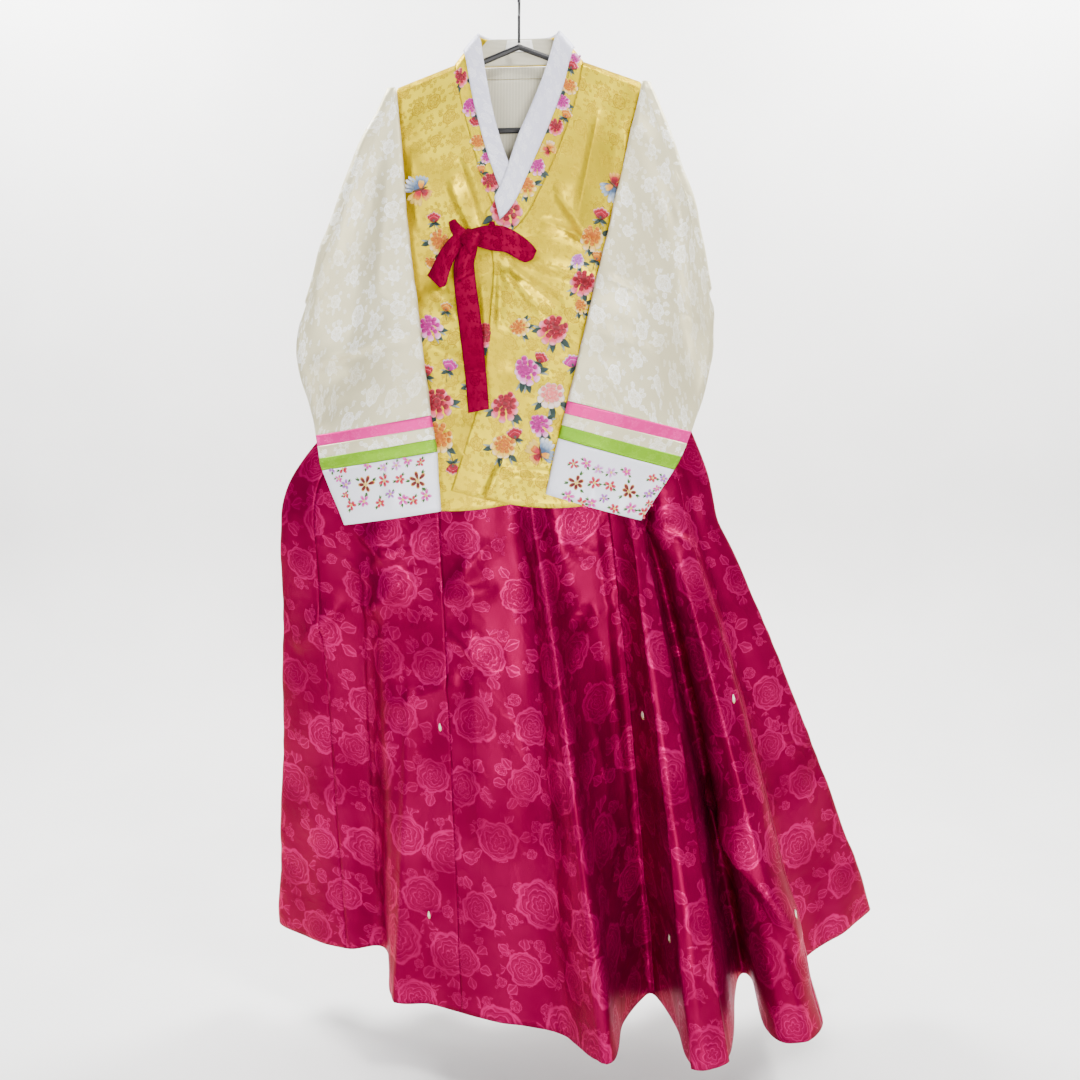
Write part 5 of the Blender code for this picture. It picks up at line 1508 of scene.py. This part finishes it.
class Embroidery:
    """Collects stitched shapes that lie on some cloth pieces, and makes them one mesh."""

    def __init__(self, cloths):
        depsgraph = bpy.context.evaluated_depsgraph_get()
        self.trees = [BVHTree.FromObject(cloth, depsgraph) for cloth in cloths]
        self.round, self.shape_faces = stitched_shape(False)
        self.pointed, _ = stitched_shape(True)
        self.points = []
        self.faces = []
        self.dyes = []
        self.places = []
        self.count = 0

    def cloth_y(self, x, z):
        """The front of the cloth at a place, or None beside it."""
        found = [tree.ray_cast(Vector((x, -1, z)), Vector((0, 1, 0)))[0] for tree in self.trees]
        found = [spot.y for spot in found if spot is not None]
        return min(found) if found else None

    def petal(self, x, z, turn, length, width, base, first, last, rise=STITCH_HEIGHT, pointed=False):
        """One shape from its base at x, z towards the angle turn, dyed from first at its base to last."""
        if self.cloth_y(x + 0.5 * length * math.cos(turn), z + 0.5 * length * math.sin(turn)) is None:
            return
        shape = self.pointed if pointed else self.round
        local = shape * np.array([width, length, rise])
        along = np.array([math.cos(turn), math.sin(turn)])
        aside = np.array([math.sin(turn), -math.cos(turn)])
        flat = np.array([x, z]) + local[:, 1:2] * along + local[:, 0:1] * aside
        middle = self.cloth_y(*flat.mean(axis=0))
        points = []
        for (px, pz), height in zip(flat, local[:, 2]):
            y = self.cloth_y(px, pz)
            y = middle if y is None or abs(y - middle) > ON_CLOTH else y
            points.append((px, y - base - height, pz))
        self.points += points
        self.faces += [tuple(i + self.count for i in face) for face in self.shape_faces]
        self.count += len(points)
        share = step_up(shape[:, 1], 0.45, 1.0)[:, None]
        self.dyes.append(np.array(first) * (1 - share) + np.array(last) * share)
        self.places.append(local[:, :2])

    def ring(self, flower, count, start, length, width, base, first, last, off=0.0):
        """Petals in a ring round a flower's heart, each a little uneven. Off moves it the way it faces."""
        facing = math.radians(flower.turn)
        heart_x, heart_z = beside(flower, HEART_OFF * off, facing)
        for i in range(count):
            wobble = math.sin(12.9 * i + 410 * flower.x + 230 * flower.z)
            sway = math.sin(7.3 * i + 290 * flower.x - 370 * flower.z)
            turn = facing + math.tau * (i + 0.30 * wobble) / count
            away = start * flower.radius * (1 + 0.28 * sway)
            size = flower.radius * length * (1 + 0.16 * wobble)
            x = heart_x + away * math.cos(turn)
            z = heart_z + away * math.sin(turn)
            self.petal(x, z, turn, size, flower.radius * width, base, first, last)

    def clump(self, flower, count, start, size, base):
        """Small round petals, each a dark cushion on a paler one that shows as its edge."""
        dye = DYES[flower.dye]
        self.ring(flower, count, start, size * 1.12, size * 1.16, base, dye.light, dye.light, off=1.0)
        self.ring(flower, count, start, size, size, base + 0.0004, dye.heart, dye.middle, off=1.0)

    def leaf(self, x, z, turn, length, dye="leaf"):
        """A dark pointed leaf and a paler, narrower one beside it."""
        shades = DYES[dye]
        pale = (shades.light, shades.rim)
        dark = (shades.heart, shades.middle)
        self.petal(x, z, turn - 0.30, length, length * 0.24, 0.0, *pale, 0.0004, True)
        self.petal(x, z, turn + 0.22, length, length * 0.44, 0.0001, *dark, 0.0005, True)

    def stem(self, x, z, turn, length, dye="leaf"):
        shade = DYES[dye].heart
        for _ in range(3):
            self.petal(x, z, turn, length * 0.42, 0.0013, 0.0, shade, shade, 0.0004)
            x += length * 0.34 * math.cos(turn)
            z += length * 0.34 * math.sin(turn)
            turn += 0.16

    def peony(self, flower):
        dye = DYES[flower.dye]
        turn = math.radians(flower.turn)
        for i, angle in enumerate((2.3, 3.3, 4.3)):
            at = turn + angle + 0.5 * math.sin(700 * flower.x + 3 * i)
            self.leaf(*beside(flower, 0.8, at), at, 0.70 * flower.radius + 0.004)
        self.ring(flower, 9, 0.46, 0.58, 0.66, 0.0002, dye.light, dye.rim, off=-1.0)
        self.clump(flower, 9, 0.38, 0.46, 0.0005)
        self.clump(flower, 7, 0.16, 0.44, 0.0009)
        self.clump(flower, 4, -0.06, 0.40, 0.0013)

    def bud(self, flower):
        dye = DYES[flower.dye]
        turn = math.radians(flower.turn)
        self.stem(flower.x, flower.z, turn + math.pi, 2.1 * flower.radius)
        for side in (-1, 1):
            self.leaf(*beside(flower, -0.7, turn), turn + side * 2.1, 0.9 * flower.radius + 0.002)
        base_x, base_z = beside(flower, -0.6, turn)
        layers = (
            (1.55, 0.0002, dye.light, dye.rim),
            (1.36, 0.0006, dye.heart, dye.middle),
            (0.95, 0.0010, dye.light, dye.light),
            (0.86, 0.0012, dye.heart, dye.middle),
        )
        for reach, base, first, last in layers:
            for spread in (-0.75, -0.38, 0.38, 0.75, 0.0):
                length = flower.radius * reach * (1.0 if spread else 1.08)
                self.petal(base_x, base_z, turn + spread, length, flower.radius * 0.72, base, first, last)
        cup = DYES["leaf"].middle
        self.petal(base_x, base_z, turn, flower.radius * 0.5, flower.radius * 0.6, 0.0012, cup, cup)

    def star(self, flower):
        dye = DYES[flower.dye]
        self.ring(flower, 5, 0.05, 0.90, 0.60, 0.0002, dye.middle, dye.light)
        self.ring(flower, 4, 0.0, 0.28, 0.28, 0.0007, DYES["gold"].light, DYES["gold"].rim)
        turn = math.radians(flower.turn + 36)
        for i in (0, 2):
            at = turn + math.tau * i / 5
            self.leaf(*beside(flower, 0.6, at), at, 0.75 * flower.radius, "green")

    def six(self, flower):
        dye = DYES[flower.dye]
        self.ring(flower, 6, 0.10, 0.90, 0.56, 0.0002, dye.rim, dye.rim)
        self.ring(flower, 6, 0.18, 0.70, 0.42, 0.0006, dye.middle, dye.light)
        self.ring(flower, 4, 0.0, 0.26, 0.26, 0.0010, DYES["gold"].light, DYES["gold"].rim)
        for i in range(3):
            at = math.radians(flower.turn + 30 + 120 * i)
            self.leaf(*beside(flower, 0.9, at), at, 0.6 * flower.radius, "green")

    def butterfly(self, flower):
        """Two pairs of wings with bright inner patches, a brown body and curled feelers."""
        dye = DYES[flower.dye]
        ahead = math.radians(flower.turn)
        size = flower.radius
        gold, red = DYES["gold"], DYES["crimson"]
        wings = (
            (0.75, 1.15, gold.middle, gold.light, red.middle, DYES["orange"].middle),
            (2.15, 0.85, red.middle, DYES["orange"].light, red.heart, red.middle),
            (-0.75, 1.15, dye.middle, dye.rim, dye.heart, dye.light),
            (-2.05, 0.95, dye.heart, dye.light, DYES["orange"].middle, gold.light),
        )
        for spread, length, first, last, inner_first, inner_last in wings:
            width = size * length * 0.34
            for fan in (-0.42, -0.14, 0.14, 0.42):
                angle = ahead + spread + fan
                self.petal(flower.x, flower.z, angle, size * length, width, 0.0002, first, last)
            for fan in (-0.16, 0.16):
                angle = ahead + spread + fan
                reach = size * length * 0.66
                self.petal(flower.x, flower.z, angle, reach, width, 0.0007, inner_first, inner_last)
        tail = beside(flower, -0.55, ahead)
        self.petal(*tail, ahead, size * 1.1, size * 0.16, 0.0010, BODY_BROWN, BODY_BROWN, 0.0010)
        for side in (-1, 1):
            x, z = beside(flower, 0.5, ahead)
            turn = ahead + side * 0.35
            for _ in range(3):
                self.petal(x, z, turn, size * 0.32, 0.0010, 0.0003, gold.middle, gold.middle, 0.0004)
                x += size * 0.26 * math.cos(turn)
                z += size * 0.26 * math.sin(turn)
                turn += side * 0.45

    def finish(self, name, slot):
        mesh = bpy.data.meshes.new(name)
        mesh.from_pydata(self.points, [], self.faces)
        loops = np.zeros(len(mesh.loops), int)
        mesh.loops.foreach_get("vertex_index", loops)
        mesh.uv_layers.new(name="Cloth").data.foreach_set("uv", np.concatenate(self.places)[loops].ravel())
        dyes = np.concatenate(self.dyes)
        colours = np.concatenate([dyes, np.ones((len(dyes), 1))], axis=1)
        layer = mesh.color_attributes.new("Thread", "FLOAT_COLOR", "POINT")
        layer.data.foreach_set("color", colours.ravel())
        mesh.shade_smooth()
        mesh.materials.append(embroidery_thread())
        piece = bpy.data.objects.new(name, mesh)
        bpy.context.scene.collection.objects.link(piece)
        bpy.context.view_layer.objects.active = piece
        faces_outward(mesh)
        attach(piece, "root")
        return piece


def faces_outward(mesh):
    """The shapes are laid on cloth in mirror image, so their faces are turned to point out again."""
    work = bmesh.new()
    work.from_mesh(mesh)
    if work.calc_volume(signed=True) < 0:
        bmesh.ops.reverse_faces(work, faces=work.faces)
    work.to_mesh(mesh)
    work.free()


def other_cuff(flowers):
    """The same flowers in mirror image on the right cuff, which hangs at another slope."""
    made = []
    for row in flowers:
        z = row.z + OTHER_CUFF_SLOPE * (row.x - OTHER_CUFF_MIDDLE)
        made.append(row._replace(x=OTHER_CUFF_SHIFT - row.x, z=z, turn=180 - row.turn))
    return made


def build_embroidery():
    jacket = (
        ("front_inner", "front_inner_cloth", INNER_FRONT_FLOWERS, "yellow satin"),
        ("front_outer", "front_outer_cloth", OUTER_FRONT_FLOWERS, "yellow satin"),
        ("collar", "git_cloth", COLLAR_FLOWERS, "yellow satin"),
        ("cuff_left", "cuff_left_cloth", CUFF_FLOWERS, "white satin"),
        ("cuff_right", "cuff_right_cloth", other_cuff(CUFF_FLOWERS), "white satin"),
    )
    for name, cloth, flowers, slot in jacket:
        sewing = Embroidery([bpy.data.objects[cloth]])
        for flower in flowers:
            getattr(sewing, flower.kind)(flower)
        sewing.finish(f"embroidery_{name}", slot)
    panels = [bpy.data.objects[f"chima_panel_{number}_cloth"] for number in range(1, len(PANEL_FOLDS) + 1)]
    tabs = Embroidery(panels)
    for row in TABS:
        top = row.z + TAB_UP
        tabs.petal(row.x, top, TAB_TURN, TAB_LENGTH, TAB_WIDTH, 0.0003, TAB_IVORY, TAB_GOLD, TAB_RISE)
    tabs.finish("seam_tabs", "magenta satin")


# Stage, lights and camera


def build_stage():
    """A pale floor that curves up into a backdrop."""
    angle = np.radians(np.arange(10, 91, 10))
    curve_end = FLOOR_BACK + FLOOR_CURVE
    depth = np.concatenate([[FLOOR_FRONT, FLOOR_BACK], FLOOR_BACK + FLOOR_CURVE * np.sin(angle), [curve_end]])
    height = np.concatenate([[0, 0], FLOOR_CURVE * (1 - np.cos(angle)), [WALL_HEIGHT]]) + FLOOR_Z
    points = [(x, y, z) for y, z in zip(depth, height) for x in (-FLOOR_HALF, 0.0, FLOOR_HALF)]
    faces = []
    for row in range(len(depth) - 1):
        for column in range(2):
            a = row * 3 + column
            faces.append((a, a + 1, a + 4, a + 3))
    mesh = bpy.data.meshes.new("backdrop")
    mesh.from_pydata(points, [], faces)
    mesh.shade_smooth()
    mesh.materials.append(plain_finish("Backdrop", (0.93, 0.925, 0.915), 0.85, 3.0))
    backdrop = bpy.data.objects.new("backdrop", mesh)
    bpy.context.scene.collection.objects.link(backdrop)


Lamp = namedtuple("Lamp", "name x y z size watts red green blue")
LAMPS = [
    Lamp("Key", 1.1, -1.5, 2.0, 0.6, 105, 1.0, 0.985, 0.96),
    Lamp("Front", -1.3, -2.7, 0.4, 1.3, 40, 0.97, 0.985, 1.0),
    Lamp("Low", 0.5, -2.9, -0.7, 0.8, 72, 1.0, 0.985, 0.97),
    Lamp("Behind", 1.4, 2.4, 0.9, 1.8, 25, 1.0, 1.0, 1.0),
]
LAMP_AIM = Vector((0.05, 0.0, -0.72))
WALL_LAMPS = [
    Lamp("Wall left", -1.5, 0.75, 1.3, 1.2, 170, 1.0, 1.0, 1.0),
    Lamp("Wall right", 1.5, 0.75, 1.3, 1.2, 170, 1.0, 1.0, 1.0),
]
WALL_AIM = Vector((0.0, 1.7, -0.6))
ROOM_COLOUR = (0.92, 0.94, 1.0, 1)
ROOM_STRENGTH = 0.44


def build_lights():
    for row in LAMPS + WALL_LAMPS:
        aim = LAMP_AIM if row in LAMPS else WALL_AIM
        light = bpy.data.lights.new(row.name, "AREA")
        light.shape = "DISK"
        light.size = row.size
        light.energy = row.watts
        light.color = (row.red, row.green, row.blue)
        lamp = bpy.data.objects.new(row.name, light)
        lamp.location = (row.x, row.y, row.z)
        lamp.rotation_euler = (aim - Vector(lamp.location)).to_track_quat("-Z", "Y").to_euler()
        bpy.context.scene.collection.objects.link(lamp)
    world = bpy.data.worlds.new("Soft room")
    world.use_nodes = True
    sky = world.node_tree.nodes["Background"].inputs
    sky["Color"].default_value = ROOM_COLOUR
    sky["Strength"].default_value = ROOM_STRENGTH
    bpy.context.scene.world = world


def build_camera():
    lens = bpy.data.cameras.new("Camera")
    lens.lens = CAMERA_LENS
    lens.sensor_width = 36.0
    camera = bpy.data.objects.new("Camera", lens)
    camera.location = CAMERA_PLACE
    camera.rotation_euler = (math.pi / 2 - CAMERA_TILT, 0, 0)
    bpy.context.scene.collection.objects.link(camera)
    bpy.context.scene.camera = camera


def build_hanger():
    """The hanger's solids are its final shapes, and take their finish."""
    black = plain_finish("Hanger black", (0.014, 0.014, 0.016), 0.35, 300.0)
    for name in ("hanger_frame", "hanger_hook"):
        node = frame["nodes"][name]
        node.data.materials.clear()
        node.data.materials.append(black)


def main():
    build_camera()
    build_hanger()
    build_fronts()
    build_back()
    build_collar()
    build_lining()
    build_sleeve("right", 1, RIGHT_FOLD, RIGHT_SLEEVE, RIGHT_BANDS, RIGHT_SLEEVE_CREASES)
    build_sleeve("left", -1, LEFT_FOLD, LEFT_SLEEVE, LEFT_BANDS, LEFT_SLEEVE_CREASES)
    build_skirt()
    build_waist()
    build_ribbon()
    build_embroidery()
    build_stage()
    build_lights()


main()
